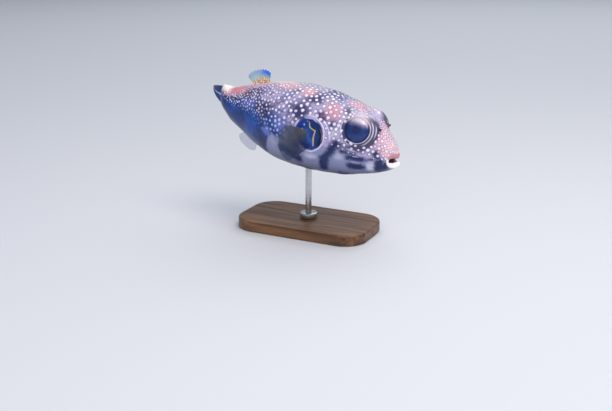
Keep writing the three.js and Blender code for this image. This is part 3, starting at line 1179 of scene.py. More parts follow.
    def _broken(self, recipe: Recipe, share: Socket, pattern: Socket) -> Socket:
        """Breaks up the border of a region.

        Args:
            recipe: The material.
            share: The region's smooth share.
            pattern: The noise that breaks it up.

        Returns:
            Its share with a ragged border.
        """
        add = recipe.add
        pushed = add("Math", {0: pattern, 1: 0.9, 2: -0.45}, **TIMES_PLUS)
        border = add("Math", {0: pushed, 1: share}, operation="ADD")
        rise = add("MapRange", {"Value": border, "From Min": 0.12, "From Max": 0.88}, **SOFT)
        gate = add("Math", {0: share, 1: 6.0}, **TIMES, use_clamp=True)
        return add("Math", {0: rise, 1: gate}, **TIMES)

    def _mottle(self, recipe: Recipe, patch: Socket, broad: Socket, belly: Socket) -> Socket:
        """Lays dark cloudy patches over back and flank.

        Args:
            recipe: The material.
            patch: The middling noise.
            broad: The broad noise.
            belly: The belly's share, where there are none.

        Returns:
            The patches' share.
        """
        add = recipe.add
        both = add("Math", {0: patch, 1: broad}, operation="ADD")
        cloud = add("MapRange", {"Value": both, "From Min": 0.97, "From Max": 1.16}, **SOFT)
        flank = add("Math", {0: 1.0, 1: belly}, operation="SUBTRACT")
        kept = add("Math", {0: cloud, 1: flank}, **TIMES)
        return add("Math", {0: kept, 1: 0.8}, **TIMES)

    def _spots(self, recipe: Recipe, place: Socket, fine: Socket,
               rear: Socket) -> tuple[Socket, Socket]:
        """Draws each white spot as an uneven disc round its own middle.

        Args:
            recipe: The material.
            place: Object coordinates.
            fine: The fine noise, which frays the spots' rims.
            rear: The rear flank's share, where no darker skin lies round the spots.

        Returns:
            The share of the spots, and of the darker skin close round them.
        """
        add = recipe.add
        centre = add("Attribute", output="Vector", attribute_name="spot_centre")
        radius = add("Attribute", output="Fac", attribute_name="spot_radius")
        share = add("Attribute", output="Fac", attribute_name="spot_share")
        away = add("VectorMath", {0: place, 1: centre}, operation="DISTANCE")
        uneven = add("TexNoise", {"Vector": place, "Scale": scale_for(self.wobble_mm),
                                  "Detail": 2.0})
        for pattern, reach in ((fine, 0.4 * MM), (uneven, 2.2 * MM)):
            away = add("Math", {0: pattern, 1: reach, 2: away}, **TIMES_PLUS)
        beyond = add("Math", {0: away, 1: radius}, operation="SUBTRACT")
        disc, near = (add("MapRange", {"Value": beyond, "From Min": outer * MM,
                                       "From Max": inner * MM, "To Max": most}, **SOFT)
                      for outer, inner, most in ((1.85, 0.75, 1.0), (3.2, 1.4, 0.5)))
        spot = add("Math", {0: disc, 1: share}, **TIMES)
        upper = add("Math", {0: 1.0, 1: rear}, operation="SUBTRACT")
        return spot, add("Math", {0: near, 1: upper}, **TIMES)

    def _relief(self, recipe: Recipe, place: Socket, fine: Socket, spots: Socket) -> Socket:
        """Raises prickles, fine creases and spots.

        Args:
            recipe: The material.
            place: Object coordinates.
            fine: The fine noise.
            spots: The spots' share.

        Returns:
            The normal.
        """
        add = recipe.add
        prickles = add("TexVoronoi", {"Vector": place, "Randomness": 0.75,
                                      "Scale": scale_for(self.prickle_mm)})
        point = add("MapRange", {"Value": prickles, "From Max": 0.45, "To Min": 1.0,
                                 "To Max": 0.0}, **SOFT)
        chain = {}
        for height, strength, distance in ((point, 0.35, 0.25 * MM), (fine, 0.3, 0.25 * MM),
                                           (spots, 0.25, 0.3 * MM)):
            chain["Normal"] = add("Bump", {"Height": height, "Strength": strength,
                                           "Distance": distance} | chain)
        return chain["Normal"]


@dataclass(frozen=True)
class Skin:
    """The one skin over head, trunk and tail, rolled in at the lips and closed behind."""

    body: Body
    eye: EyeSeat
    mouth: Mouth
    markings: Markings
    around: int = 312
    throat_rings: int = 12
    lip_rings: int = 22
    join_rings: int = 5
    cap_rings: int = 3
    ring_spacing: Knots = (
        (0, 0.62), (66, 0.62), (84, 0.8), (112, 0.85), (150, 1.45), (252, 1.45),
    )
    ease_rounds: int = 6
    lump_mm: float = 17.0
    lump_height: float = 0.9

    def _shares(self) -> Array:
        """Spaces the rings along the body, densest towards the snout.

        Returns:
            Each ring's share of the way.
        """
        at = np.linspace(0, self.body.length, 4000)
        knots = np.array(self.ring_spacing)
        count = np.concatenate([[0], np.cumsum(np.diff(at) / np.interp(at, *knots.T)[1:])])
        rings = int(round(count[-1]))
        return np.interp(np.linspace(0, count[-1], rings), count, at) / self.body.length

    def _rings(self, angle: Array) -> tuple[Array, Array, Array]:
        """Lays out every ring, from the bottom of the throat to the tail's closed end.

        Args:
            angle: The directions round the section.

        Returns:
            Body measures by ring and direction, and each ring's share of lip and throat.
        """
        rings = []
        corner = np.sin(angle) ** 2
        for share in np.linspace(0, 1, self.throat_rings + 1)[:-1]:
            lip = float(smooth(0.88, 1.0, share))
            rings.append((self.mouth.throat_point(angle, share), lip, 1 - lip))
        last_roll = mix(math.radians(5), math.radians(30), corner)
        for share in np.linspace(0, 1, self.lip_rings):
            roll = mix(self.mouth.lip_turned_in, last_roll, share)
            rings.append((self.mouth.lip_point(angle, roll), 1.0, 0.0))
        start = self.mouth.front + self.mouth.wrap * (self.mouth.half_width * np.sin(angle)) ** 2
        start = start + mix(0.9, 0.4, corner)
        last, first = rings[-1][0], self.body.surface(start, angle)
        for share in np.linspace(0, 1, self.join_rings + 2)[1:-1]:
            rings.append((mix(last, first, share), 1 - float(smooth(0.0, 0.8, share)), 0.0))
        for share in self._shares():
            at = start + (self.body.length - start) * share
            rings.append((self.body.surface(at, angle), 0.0, 0.0))
        end = rings[-1][0]
        for share in np.linspace(0, 1, self.cap_rings + 1)[1:]:
            rings.append((mix(end, end.mean(0), share), 0.0, 0.0))
        return tuple(np.array(part) for part in zip(*rings))

    def _ease_lips(self, rows: Array) -> Array:
        """Rounds the crease where the lips meet the snout.

        Args:
            rows: Body measures by ring and direction.

        Returns:
            The same, eased.
        """
        first = self.throat_rings + self.lip_rings - 3
        last = first + self.join_rings + 8
        for _ in range(self.ease_rounds):
            window = rows[first - 1:last + 2]
            rows[first:last + 1] = (window[:-2] + 2 * window[1:-1] + window[2:]) / 4
        return rows

    def _swell(self, points: Array, at: Array, turn: Array) -> Array:
        """Adds the small forms of flesh: gill slit, fin pad, cheek and loose folds.

        Args:
            points: Rows of body measures.
            at: Distance behind the snout.
            turn: Direction in the section.

        Returns:
            The moved rows.
        """
        distance, degrees = self.markings.disc_place(points)
        ahead = np.abs(degrees - 5)
        pad = 2.0 * hump(distance, 3, 7.5)
        slit = -2.4 * hump(distance, 13.2, 1.1) * smooth(62, 30, ahead)
        flap = 1.1 * hump(distance, 16.5, 2.4) * smooth(75, 30, ahead)
        hollow = -1.5 * np.exp(-((at - 20) / 9) ** 2 - ((np.degrees(turn) - 84) / 26) ** 2)
        crease = -0.9 * hump(self.markings.fold_away(points), 0, 1.3)
        brow = -1.6 * np.exp(-((at - 40) / 14) ** 2 - (turn / 0.28) ** 2)
        lumps = np.array([noise.noise(Vector(p) / self.lump_mm) for p in points])
        lumps = lumps * self.lump_height
        lumps *= smooth(6, 30, at) * smooth(self.body.length, 235, at)
        back, belly, _, _ = self.body.outline(at)
        height = points[:, 2] - (back + belly) / 2
        outward = np.stack([np.zeros_like(height), points[:, 1], height], -1)
        outward /= np.maximum(np.linalg.norm(outward, axis=1), 1e-6)[:, None]
        move = (pad + slit + flap + hollow + crease + brow + lumps) * smooth(2, 9, at)
        return points + outward * move[:, None]

    def build(self) -> None:
        """Makes the skin's mesh with all its masks and dresses it."""
        angle = np.linspace(0, 2 * math.pi, self.around + 1)
        rows, lip, throat = self._rings(angle)
        rows = self._ease_lips(rows)
        rings = len(rows)
        piece, u, v = new_grid("skin", rings - 1, self.around)
        ring = np.round(u * (rings - 1)).astype(int)
        spoke = np.round(v * self.around).astype(int)
        points = rows[ring, spoke]
        turn = np.minimum(angle[spoke], 2 * math.pi - angle[spoke])
        at = -points[:, 0]
        first = self.throat_rings + self.lip_rings + self.join_rings
        flesh = (ring > first) & (ring < rings - self.cap_rings - 1)
        points[flesh] = self._swell(points[flesh], at[flesh], turn[flesh])
        for side in Side:
            points[flesh] = self.eye.raise_skin(points[flesh], side)
        masks = self._mark(piece, points, at, turn, lip[ring], throat[ring])
        chosen, radius, fade = self.markings.scatter(points, at, turn)
        set_coordinates(piece, self.body.place(points))
        weld(piece)
        self._set_spots(piece, self.body.place(points[chosen]), radius * MM, fade)
        install(piece, "skin", PufferSkin().make(masks), "head", "trunk", "tail")

    def _mark(self, piece: Piece, points: Array, at: Array, turn: Array,
              lip: Array, throat: Array) -> list[str]:
        """Writes the masks that the skin's material reads.

        Args:
            piece: The skin.
            points: Rows of body measures.
            at: Distance behind the snout.
            turn: Direction in the section.
            lip: The lips' share.
            throat: The throat's share.

        Returns:
            The masks' names.
        """
        below = smooth(70, 90, np.degrees(turn))
        masks = {
            **self.markings.regions(at, turn),
            **self.markings.disc_pattern(points),
            **self.markings.eye_pattern(points),
            "blotch_edge": self.markings.blotch_edge(points),
            # The dark line along the tail's crease is painted shade.
            "fold": 0.6 * smooth(2.0, 0.4, self.markings.fold_away(points)),
            "lip_upper": lip * (1 - below),
            "lip_lower": lip * below,
            # The throat's dark violet is partly painted shade inside the mouth.
            "throat": throat,
        }
        for name, values in masks.items():
            set_attribute(piece, name, values)
        return list(masks)

    def _set_spots(self, piece: Piece, centres: Array, radius: Array, fade: Array) -> None:
        """Tells every face which white spot is nearest to it.

        Args:
            piece: The skin.
            centres: The spots' middles.
            radius: Their radii.
            fade: How white they are.
        """
        tree = tree_of(centres)
        nearest = np.array([tree.find(face.center)[1] for face in piece.data.polygons])
        for name, values in (("spot_centre", centres), ("spot_radius", radius),
                             ("spot_share", fade)):
            set_attribute(piece, name, values[nearest], "FACE")
        log.info("skin: %d white spots", len(centres))


# ---- fins ----


@dataclass(frozen=True)
class FinMembrane:
    """Thin fin membrane between soft rays: see-through at the edge, fleshy at the root.

    The colours are those of the fleshy root and its flecks, of rays and web in front,
    of both behind, and of the outer edge. Alphas and clearnesses run from 0 to 1.
    """

    name: str
    flesh: str
    fleck: str
    ray: str
    web: str
    web_behind: str
    tip: str
    flesh_ends: float
    web_alpha: float
    ray_alpha: float = 1.0
    root_alpha: float = 1.0
    root_clear: float = 1.0
    edge_clear: float = 1.0
    streak: float = 0.0
    fleck_mm: float = 2.6
    cloud_mm: float = 7.0

    def make(self) -> Material:
        """Builds the material.

        Returns:
            The membrane, which reads the shares "along", "across" and "ray".
        """
        recipe = Recipe(self.name)
        add = recipe.add
        place = add("TexCoord", output="Object")
        along, across, ray = (add("Attribute", output="Fac", attribute_name=name)
                              for name in ("along", "across", "ray"))
        cloud = add("TexNoise", {"Vector": place, "Scale": scale_for(self.cloud_mm),
                                 "Detail": 3.0})
        flecks = add("TexVoronoi", {"Vector": place, "Randomness": 0.8,
                                    "Scale": scale_for(self.fleck_mm)})
        fleck = add("MapRange", {"Value": flecks, "From Min": 0.45, "From Max": 0.33}, **SOFT)
        edge = add("Math", {0: cloud, 1: 0.3, 2: along}, **TIMES_PLUS)
        fleshy = add("MapRange", {"Value": edge, "From Min": self.flesh_ends + 0.27,
                                  "From Max": self.flesh_ends + 0.03}, **SOFT)
        behind = add("Math", {0: cloud, 1: 0.6, 2: across}, **TIMES_PLUS)
        behind = add("MapRange", {"Value": behind, "From Min": 0.45, "From Max": 0.9})
        ahead = add("Math", {0: behind, 1: -0.6, 2: 1.0}, **TIMES_PLUS)
        outer = add("MapRange", {"Value": edge, "From Min": 0.52, "From Max": 0.95})
        outer = add("Math", {0: outer, 1: ahead}, **TIMES)
        middle = add("Math", {0: across, 1: 0.45, 2: 0.09}, operation="COMPARE")
        band = add("Math", {0: middle, 1: self.streak}, **TIMES)
        web = add("Mix", {"Factor": behind, 6: self.web, 7: self.web_behind}, **IN_COLOUR)
        rays = add("Mix", {"Factor": behind, 6: self.ray, 7: self.web_behind}, **IN_COLOUR)
        thin = add("Mix", {"Factor": ray, 6: web, 7: rays}, **IN_COLOUR)
        thin = add("Mix", {"Factor": outer, 6: thin, 7: self.tip}, **IN_COLOUR)
        thick = add("Mix", {"Factor": fleck, 6: self.flesh, 7: self.fleck}, **IN_COLOUR)
        colour = add("Mix", {"Factor": fleshy, 6: thin, 7: thick}, **IN_COLOUR)
        colour = add("Mix", {"Factor": band, 6: colour, 7: self.fleck}, **IN_COLOUR)
        film = add("MapRange", {"Value": ray, "To Min": self.web_alpha, "To Max": self.ray_alpha})
        root = add("MapRange", {"Value": along, "From Max": 0.7, "To Min": self.root_clear})
        sheer = add("MapRange", {"Value": edge, "From Min": 0.75, "From Max": 1.15,
                                 "To Min": 1.0, "To Max": self.edge_clear})
        for share in (root, sheer):
            film = add("Math", {0: film, 1: share}, **TIMES)
        solid = add("Math", {0: fleshy, 1: self.root_alpha}, **TIMES)
        alpha = add("Math", {0: film, 1: solid}, operation="MAXIMUM")
        bump = add("Bump", {"Height": cloud, "Strength": 0.3, "Distance": 0.4 * MM})
        return recipe.finish({"Base Color": colour, "Roughness": 0.38, "IOR": 1.4,
                              "Alpha": alpha, "Coat Weight": 0.2, "Coat Roughness": 0.2,
                              "Normal": bump})


@dataclass(frozen=True, kw_only=True)
class Fin:
    """A fan of soft rays joined by membrane. Subclasses say where its sheet runs."""

    body: Body
    node: str
    membrane: FinMembrane
    rays: int
    thick_root: float
    thick_tip: float
    rounded: float
    scallop: float = 0.03
    pleat: float = 0.0
    thinnest: float = 0.45
    columns_per_ray: int = 8
    rows: int = 30

    def sheet(self, s: Array, t: Array) -> Array:
        """Returns the middle of the fin, s across the rays and t from root to tip."""
        raise NotImplementedError

    def between(self, s: Array) -> Array:
        """Returns 0 on a ray and 1 midway between two."""
        return 0.5 - 0.5 * np.cos(2 * math.pi * self.rays * s)

    def ray_share(self, s: Array, t: Array) -> Array:
        """Tells rays from web. Each ray forks towards its tip.

        Args:
            s: Share across the rays.
            t: Share from root to tip.

        Returns:
            1 on a ray and 0 midway between two.
        """
        single = 0.5 + 0.5 * np.cos(2 * math.pi * self.rays * s)
        forked = 0.5 + 0.5 * np.cos(4 * math.pi * self.rays * s)
        return mix(single, forked, smooth(0.5, 0.85, t)) ** 1.6

    def trim(self, s: Array, t: Array) -> Array:
        """Returns how far each place reaches, rounded at the corners, scalloped at the edge."""
        corners = 1 - self.rounded * np.abs(2 * s - 1) ** 3
        return corners * (1 - self.scallop * self.between(s) * smooth(0.5, 1, t))

    def build(self) -> None:
        """Makes the fin's closed mesh and dresses it."""
        name = self.node.replace("_fin", "_fin_rays")
        piece, s, t = new_grid(name, self.rays * self.columns_per_ray, self.rows)
        step = 1e-3
        across = self.sheet(s + step, t) - self.sheet(s - step, t)
        upward = self.sheet(s, t + step) - self.sheet(s, t - step)
        out = np.cross(across, upward)
        out /= np.linalg.norm(out, axis=1)[:, None]
        fold = self.pleat * smooth(0.1, 0.6, t) * np.cos(2 * math.pi * self.rays * s)
        set_coordinates(piece, self.body.place(self.sheet(s, t) + out * fold[:, None]))
        ray = self.ray_share(s, t)
        for mask, share in (("along", t), ("across", s), ("ray", ray)):
            set_attribute(piece, mask, share)
        thick = mix(self.thick_root, self.thick_tip, np.sqrt(t))
        thick = thick * mix(0.5, 1.0, np.maximum(ray, smooth(0.35, 0.05, t)))
        group = piece.vertex_groups.new(name="thickness")
        for index, share in enumerate(np.maximum(thick, self.thinnest) / self.thick_root):
            group.add([index], float(min(share, 1)), "REPLACE")
        apply_modifier(piece, "SOLIDIFY", thickness=self.thick_root * MM, offset=0.0,
                       vertex_group="thickness", use_even_offset=False)
        piece.vertex_groups.clear()
        weld(piece)
        install(piece, "fin", self.membrane.make(), self.node)


@dataclass(frozen=True, kw_only=True)
class MidlineFin(Fin):
    """The dorsal or the anal fin, fanned backwards from the middle of back or belly."""

    start: float = 182.0
    end: float = 204.0
    root: float = 3.0
    tall: float = 17.5
    lean_front: float = math.radians(-2)
    lean_rear: float = math.radians(50)
    tilt: float = math.radians(-8)
    upward: int = 1

    def sheet(self, s: Array, t: Array) -> Array:
        """Lays out the middle of the fin.

        Args:
            s: Share across the rays, from the front.
            t: Share from root to tip.

        Returns:
            Rows of body measures.
        """
        foot = mix(self.start, self.end, s)
        lean = mix(self.lean_front, self.lean_rear, s)
        along = mix(-self.root, self.tall * self.trim(s, t), t)
        rise = along * np.cos(lean)
        edge = self.body.outline(foot)[0 if self.upward > 0 else 1]
        return np.stack([-(foot + along * np.sin(lean)), rise * math.sin(self.tilt),
                         edge + self.upward * rise * math.cos(self.tilt)], -1)


@dataclass(frozen=True, kw_only=True)
class TailFin(Fin):
    """The caudal fin, folded like a half-closed fan.

    Its upper and lower edges each hold a height at the root and a slope.
    """

    start: float = 247.0
    length: float = 53.0
    upper: Pair = (23.2, -0.26)
    lower: Pair = (-2.4, 0.22)

    def trim(self, s: Array, t: Array) -> Array:
        """Returns how far each place reaches: rounder than the other fins."""
        shape = 1 - self.rounded * (2 * s - 1) ** 2
        return shape * (1 - self.scallop * self.between(s) * t ** 3)

    def sheet(self, s: Array, t: Array) -> Array:
        """Lays out the middle of the fin.

        Args:
            s: Share across the rays, from the bottom.
            t: Share from root to tip.

        Returns:
            Rows of body measures.
        """
        along = self.length * t * self.trim(s, t)
        upper = self.upper[0] + self.upper[1] * along
        lower = self.lower[0] + self.lower[1] * along
        return np.stack([-(self.start + along), np.zeros_like(s), mix(lower, upper, s)], -1)


@dataclass(frozen=True, kw_only=True)
class PectoralFin(Fin):
    """A pectoral fin, trailing from an upright root and standing off the flank."""

    side: Side
    at: float = 95.0
    top: float = 11.0
    bottom: float = -7.0
    root: float = 3.0
    length: float = 40.0
    flare: float = math.radians(30)
    flare_eases: float = 0.35
    top_turn: float = math.radians(6)
    bottom_turn: float = math.radians(-46)
    ripple: float = 0.8

    def sheet(self, s: Array, t: Array) -> Array:
        """Lays out the middle of the fin.

        Args:
            s: Share across the rays, from the top.
            t: Share from root to tip.

        Returns:
            Rows of body measures.
        """
        height = mix(self.top, self.bottom, s)
        out = self.body.side_at(np.full_like(s, self.at), height)
        turn = mix(self.top_turn, self.bottom_turn, s)
        along = mix(-self.root, self.length * self.trim(s, t), t)
        curl = self.flare * (1 - self.flare_eases * t)
        ripple = self.ripple * np.sin(s * 9 + t * 3) * t
        return np.stack([-self.at - along * np.cos(turn) * np.cos(curl),
                         self.side.value * (out + along * np.sin(curl) + ripple),
                         height + along * np.sin(turn)], -1)


# ---- eyes, beak, nose ----


@dataclass(frozen=True)
class Iris:
    """The puffer's eye under its cornea: a wide dark pupil in a dark blue iris.

    Fine fibres run outwards from the pupil, and a painted reflection of the sky pales the upper
    part.
    """

    pupil: str = "#25316a"
    iris: str = "#2b509c"
    iris_dark: str = "#1e3f82"
    glint: str = "#2d4a8e"
    # A painted reflection of the sky on the eye's upper part.
    painted_sky_reflection: str = "#f0dfe8"
    pupil_mm: float = 5.6
    rim_mm: float = 13.9
    cloud_mm: float = 5.0

    def make(self) -> Material:
        """Builds the material.

        Returns:
            The iris, which reads each place's distance from the eye's axis.
        """
        recipe = Recipe("eye_iris_and_pupil")
        add = recipe.add
        place = add("TexCoord", output="Object")
        out, up, turn = (add("Attribute", output="Fac", attribute_name=name)
                         for name in ("out_mm", "up_mm", "turn"))
        spokes = add("CombineXYZ", {"X": turn, "Y": out})
        stretch = add("VectorMath", {0: spokes, 1: (9.0, 0.25, 1.0)}, **TIMES)
        fibre = add("TexNoise", {"Vector": stretch, "Scale": 1.4, "Detail": 4.0,
                                 "Roughness": 0.65})
        cloud = add("TexNoise", {"Vector": place, "Scale": scale_for(self.cloud_mm)})
        both = add("Math", {0: fibre, 1: cloud}, **TIMES)
        tone = add("MapRange", {"Value": both, "From Min": 0.12, "From Max": 0.4})
        colour = add("Mix", {"Factor": tone, 6: self.iris_dark, 7: self.iris}, **IN_COLOUR)
        # The painted sky reflection lies over the upper part, with a cloudy lower border.
        lit = add("Math", {0: cloud, 1: 4.0, 2: up}, **TIMES_PLUS)
        bands = ((out, self.rim_mm - 2.0, self.rim_mm, self.iris_dark),
                 (out, self.pupil_mm + 2.0, self.pupil_mm + 0.8, self.glint),
                 (out, self.pupil_mm + 1.6, self.pupil_mm - 1.6, self.pupil),
                 (lit, 4.0, 13.0, self.painted_sky_reflection))
        for read, far, near, tint in bands:
            mask = add("MapRange", {"Value": read, "From Min": far, "From Max": near,
                                    "To Max": 0.92}, **SOFT)
            colour = add("Mix", {"Factor": mask, 6: colour, 7: tint}, **IN_COLOUR)
        bump = add("Bump", {"Height": fibre, "Strength": 0.3, "Distance": 0.3 * MM})
        return recipe.finish({"Base Color": colour, "Roughness": 0.4, "IOR": 1.4, "Normal": bump})


@dataclass(frozen=True)
class Cornea:
    """Clear, wet cornea: a glossy film that shows the iris behind it."""

    ior: float = 1.38
    tint: str = "#fafbff"
    roughness: float = 0.04

    def make(self) -> Material:
        """Builds the material.

        Returns:
            The cornea.
        """
        recipe = Recipe("eye_cornea")
        clear = recipe.add("BsdfTransparent", {"Color": self.tint})
        gloss = recipe.add("BsdfGlossy", {"Roughness": self.roughness})
        share = recipe.add("Fresnel", {"IOR": self.ior})
        return recipe.finish({0: share, 1: clear, 2: gloss}, "MixShader")


@dataclass(frozen=True)
class Eye:
    """One eye: a ball with a dished iris, under a clear cornea.

    Ball and cornea each hold their radius and how far they bulge along the axis.
    """

    body: Body
    seat: EyeSeat
    side: Side
    ball: Pair = (14.3, 6.2)
    cornea: Pair = (14.6, 6.75)
    dish: float = 0.8
    segments: int = 72
    rings: int = 36

    def _shell(self, name: str, size: Pair) -> tuple[Piece, Array]:
        """Adds a ball and returns it with its points in the eye's own axes, +Z outwards."""
        piece = new_primitive("uv_sphere", name, segments=self.segments, ring_count=self.rings)
        return piece, coordinates(piece) * (size[0], size[0], size[1])

    def _stand(self, piece: Piece, points: Array) -> None:
        """Turns points from the eye's own axes into their place and closes the mesh.

        Args:
            piece: Ball or cornea.
            points: Its points, +Z outwards.
        """
        axis, forward = self.seat.axis(self.side), self.seat.forward(self.side)
        middle = self.seat.centre(self.side) + axis * self.seat.seat
        basis = np.stack([forward, np.cross(axis, forward), axis])
        set_coordinates(piece, self.body.place(middle + points @ basis))
        weld(piece)

    def build(self) -> None:
        """Makes ball and cornea and dresses them."""
        name = self.side.name.lower()
        ball, points = self._shell(f"eyeball_{name}", self.ball)
        out = np.hypot(points[:, 0], points[:, 1])
        points[:, 2] -= self.dish * smooth(9.5, 2.5, out) * (points[:, 2] > 0)
        set_attribute(ball, "out_mm", out)
        set_attribute(ball, "up_mm", -self.side.value * points[:, 1])
        set_attribute(ball, "turn", np.arctan2(points[:, 1], points[:, 0]))
        self._stand(ball, points)
        install(ball, "eye", Iris().make(), f"eye_{name}")
        cornea, points = self._shell(f"cornea_{name}", self.cornea)
        self._stand(cornea, points)
        install(cornea, "eye", Cornea().make())


@dataclass(frozen=True)
class Enamel:
    """Tooth enamel of a fused beak: cream and growth-lined."""

    ivory: str = "#c9b896"
    # The stain is partly the enamel's own and partly painted shade inside the mouth.
    stain_and_shade: str = "#8a7455"
    line_mm: float = 3.0

    def make(self) -> Material:
        """Builds the material.

        Returns:
            The enamel.
        """
        recipe = Recipe("beak_enamel")
        add = recipe.add
        place = add("TexCoord", output="Object")
        tall = add("Mapping", {"Vector": place, "Scale": (1.0, 1.0, 5.0)})
        lines = add("TexNoise", {"Vector": tall, "Scale": scale_for(self.line_mm), "Detail": 4.0})
        colour = add("Mix", {"Factor": lines, 6: self.ivory, 7: self.stain_and_shade}, **IN_COLOUR)
        bump = add("Bump", {"Height": lines, "Strength": 0.3, "Distance": 0.1 * MM})
        return recipe.finish({"Base Color": colour, "Roughness": 0.22, "IOR": 1.55,
                              "Normal": bump})


@dataclass(frozen=True)
class Beak:
    """Upper and lower tooth plates, each with a groove where its two halves meet."""

    body: Body
    mouth: Mouth
    half_width: float = 7.4
    tall: float = 4.4
    thick: float = 2.0
    bite: float = 2.7
    lower_drop: float = 0.9
    front: float = 5.2
    wrap: float = 0.045
    groove: Pair = (0.45, 0.35)
    cuts: int = 23

    def build(self) -> None:
        """Makes both plates and dresses them."""
        for name, up in (("upper", 1), ("lower", -1)):
            plate = new_primitive("cube", f"beak_plate_{name}", size=1)
            bpy.ops.object.mode_set(mode="EDIT")
            bpy.ops.mesh.subdivide(number_cuts=self.cuts)
            bpy.ops.object.mode_set(mode="OBJECT")
            p = coordinates(plate)
            side = p[:, 1] * 2 * self.half_width
            deep, wide = self.groove
            groove = deep * hump(side, 0, wide) * (p[:, 0] > 0)
            pull = 1 - 0.28 * np.abs(p[:, 1] * 2) ** 4
            edge = 0.5 * self.tall * (1 - np.sqrt(np.clip(1 - (2 * p[:, 0]) ** 2 * 0.75, 0, 1)))
            rise = self.bite + self.lower_drop * (up < 0) + (p[:, 2] + 0.5) * self.tall * pull
            rise = rise + edge * (p[:, 2] < 0) * (0.5 - p[:, 2]) * 0.6
            at = self.front + self.wrap * side ** 2 - p[:, 0] * self.thick + groove
            points = np.stack([-at, side, self.mouth.height + up * rise], -1)
            set_coordinates(plate, self.body.place(points))
            weld(plate)
            install(plate, "beak", Enamel().make(), f"beak_{name}", crisp_over=math.radians(50))


@dataclass(frozen=True)
class FlapSkin:
    """Bare wet skin of the nostril flap: dark plum, paler in cloudy patches."""

    deep: str = "#3c2440"
    pale: str = "#74546e"
    cloud_mm: float = 1.2

    def make(self) -> Material:
        """Builds the material.

        Returns:
            The flap's skin.
        """
        recipe = Recipe("nostril_flap_skin")
        add = recipe.add
        place = add("TexCoord", output="Object")
        cloud = add("TexNoise", {"Vector": place, "Scale": scale_for(self.cloud_mm),
                                 "Detail": 3.0})
        colour = add("Mix", {"Factor": cloud, 6: self.deep, 7: self.pale}, **IN_COLOUR)
        bump = add("Bump", {"Height": cloud, "Strength": 0.3, "Distance": 0.15 * MM})
        return recipe.finish({"Base Color": colour, "Roughness": 0.4, "IOR": 1.4,
                              "Coat Weight": 0.2, "Normal": bump})


@dataclass(frozen=True)
class NostrilFlaps:
    """The two-lobed flap of skin that stands at a nostril, on a short stalk.

    It is shaped upright, in millimetres, and then set on the snout.
    """

    side: Side
    stem: Triple = (1.25, 0.8, 1.0)
    stem_radius: float = 1.15
    stem_height: float = 2.4
    lobe: Triple = (1.3, 0.7, 2.1)
    spread: float = 0.85
    lean: float = math.radians(24)
    sunk: float = 0.8
    voxel: float = 0.16
    outward: Triple = (0.32, 0.5, 0.8)
    ahead: Triple = (1.0, 0.0, -0.4)

    def _lobe(self, name: str, sign: int) -> Piece:
        """Adds one lobe, leaning out to the front or the back.

        Args:
            name: The object's name.
            sign: Which way it leans.

        Returns:
            The lobe.
        """
        lobe = new_primitive("uv_sphere", name, segments=24, ring_count=16)
        turn = Matrix.Rotation(sign * self.lean, 3, "Y")
        points = (coordinates(lobe) * self.lobe) @ np.array(turn).T
        set_coordinates(lobe, points + (sign * self.spread, 0.0, self.lobe[2]))
        return lobe

    def build(self, material: Material) -> None:
        """Makes the flap.

        Args:
            material: The flap's own skin.
        """
        side = self.side.name.lower()
        parts = [self._lobe("lobe", sign) for sign in (-1, 1)]
        stalk = new_primitive("cylinder", "stalk", vertices=24, radius=self.stem_radius,
                              depth=self.stem_height)
        set_coordinates(stalk, coordinates(stalk) * self.stem + (0, 0, -0.2))
        select(*parts, stalk)
        bpy.ops.object.join()
        piece = parts[0]
        piece.name = piece.data.name = f"nostril_flap_{side}"
        apply_modifier(piece, "REMESH", mode="VOXEL", voxel_size=self.voxel)
        apply_modifier(piece, "SMOOTH", factor=0.6, iterations=4)
        low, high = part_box(f"nostril_{side}")
        outward = Vector(self.outward)
        outward.y *= self.side.value
        outward.normalize()
        ahead = Vector(self.ahead).normalized()
        ahead = (ahead - ahead.dot(outward) * outward).normalized()
        basis = np.array([ahead, outward.cross(ahead), outward])
        foot = np.array((low + high) / 2)
        foot = foot - np.array(outward) * (self.lobe[2] * 0.55 + self.sunk) * MM
        set_coordinates(piece, coordinates(piece) @ basis * MM + foot)
        weld(piece)
        install(piece, "skin", material, f"nostril_{side}")


# ---- stand ----


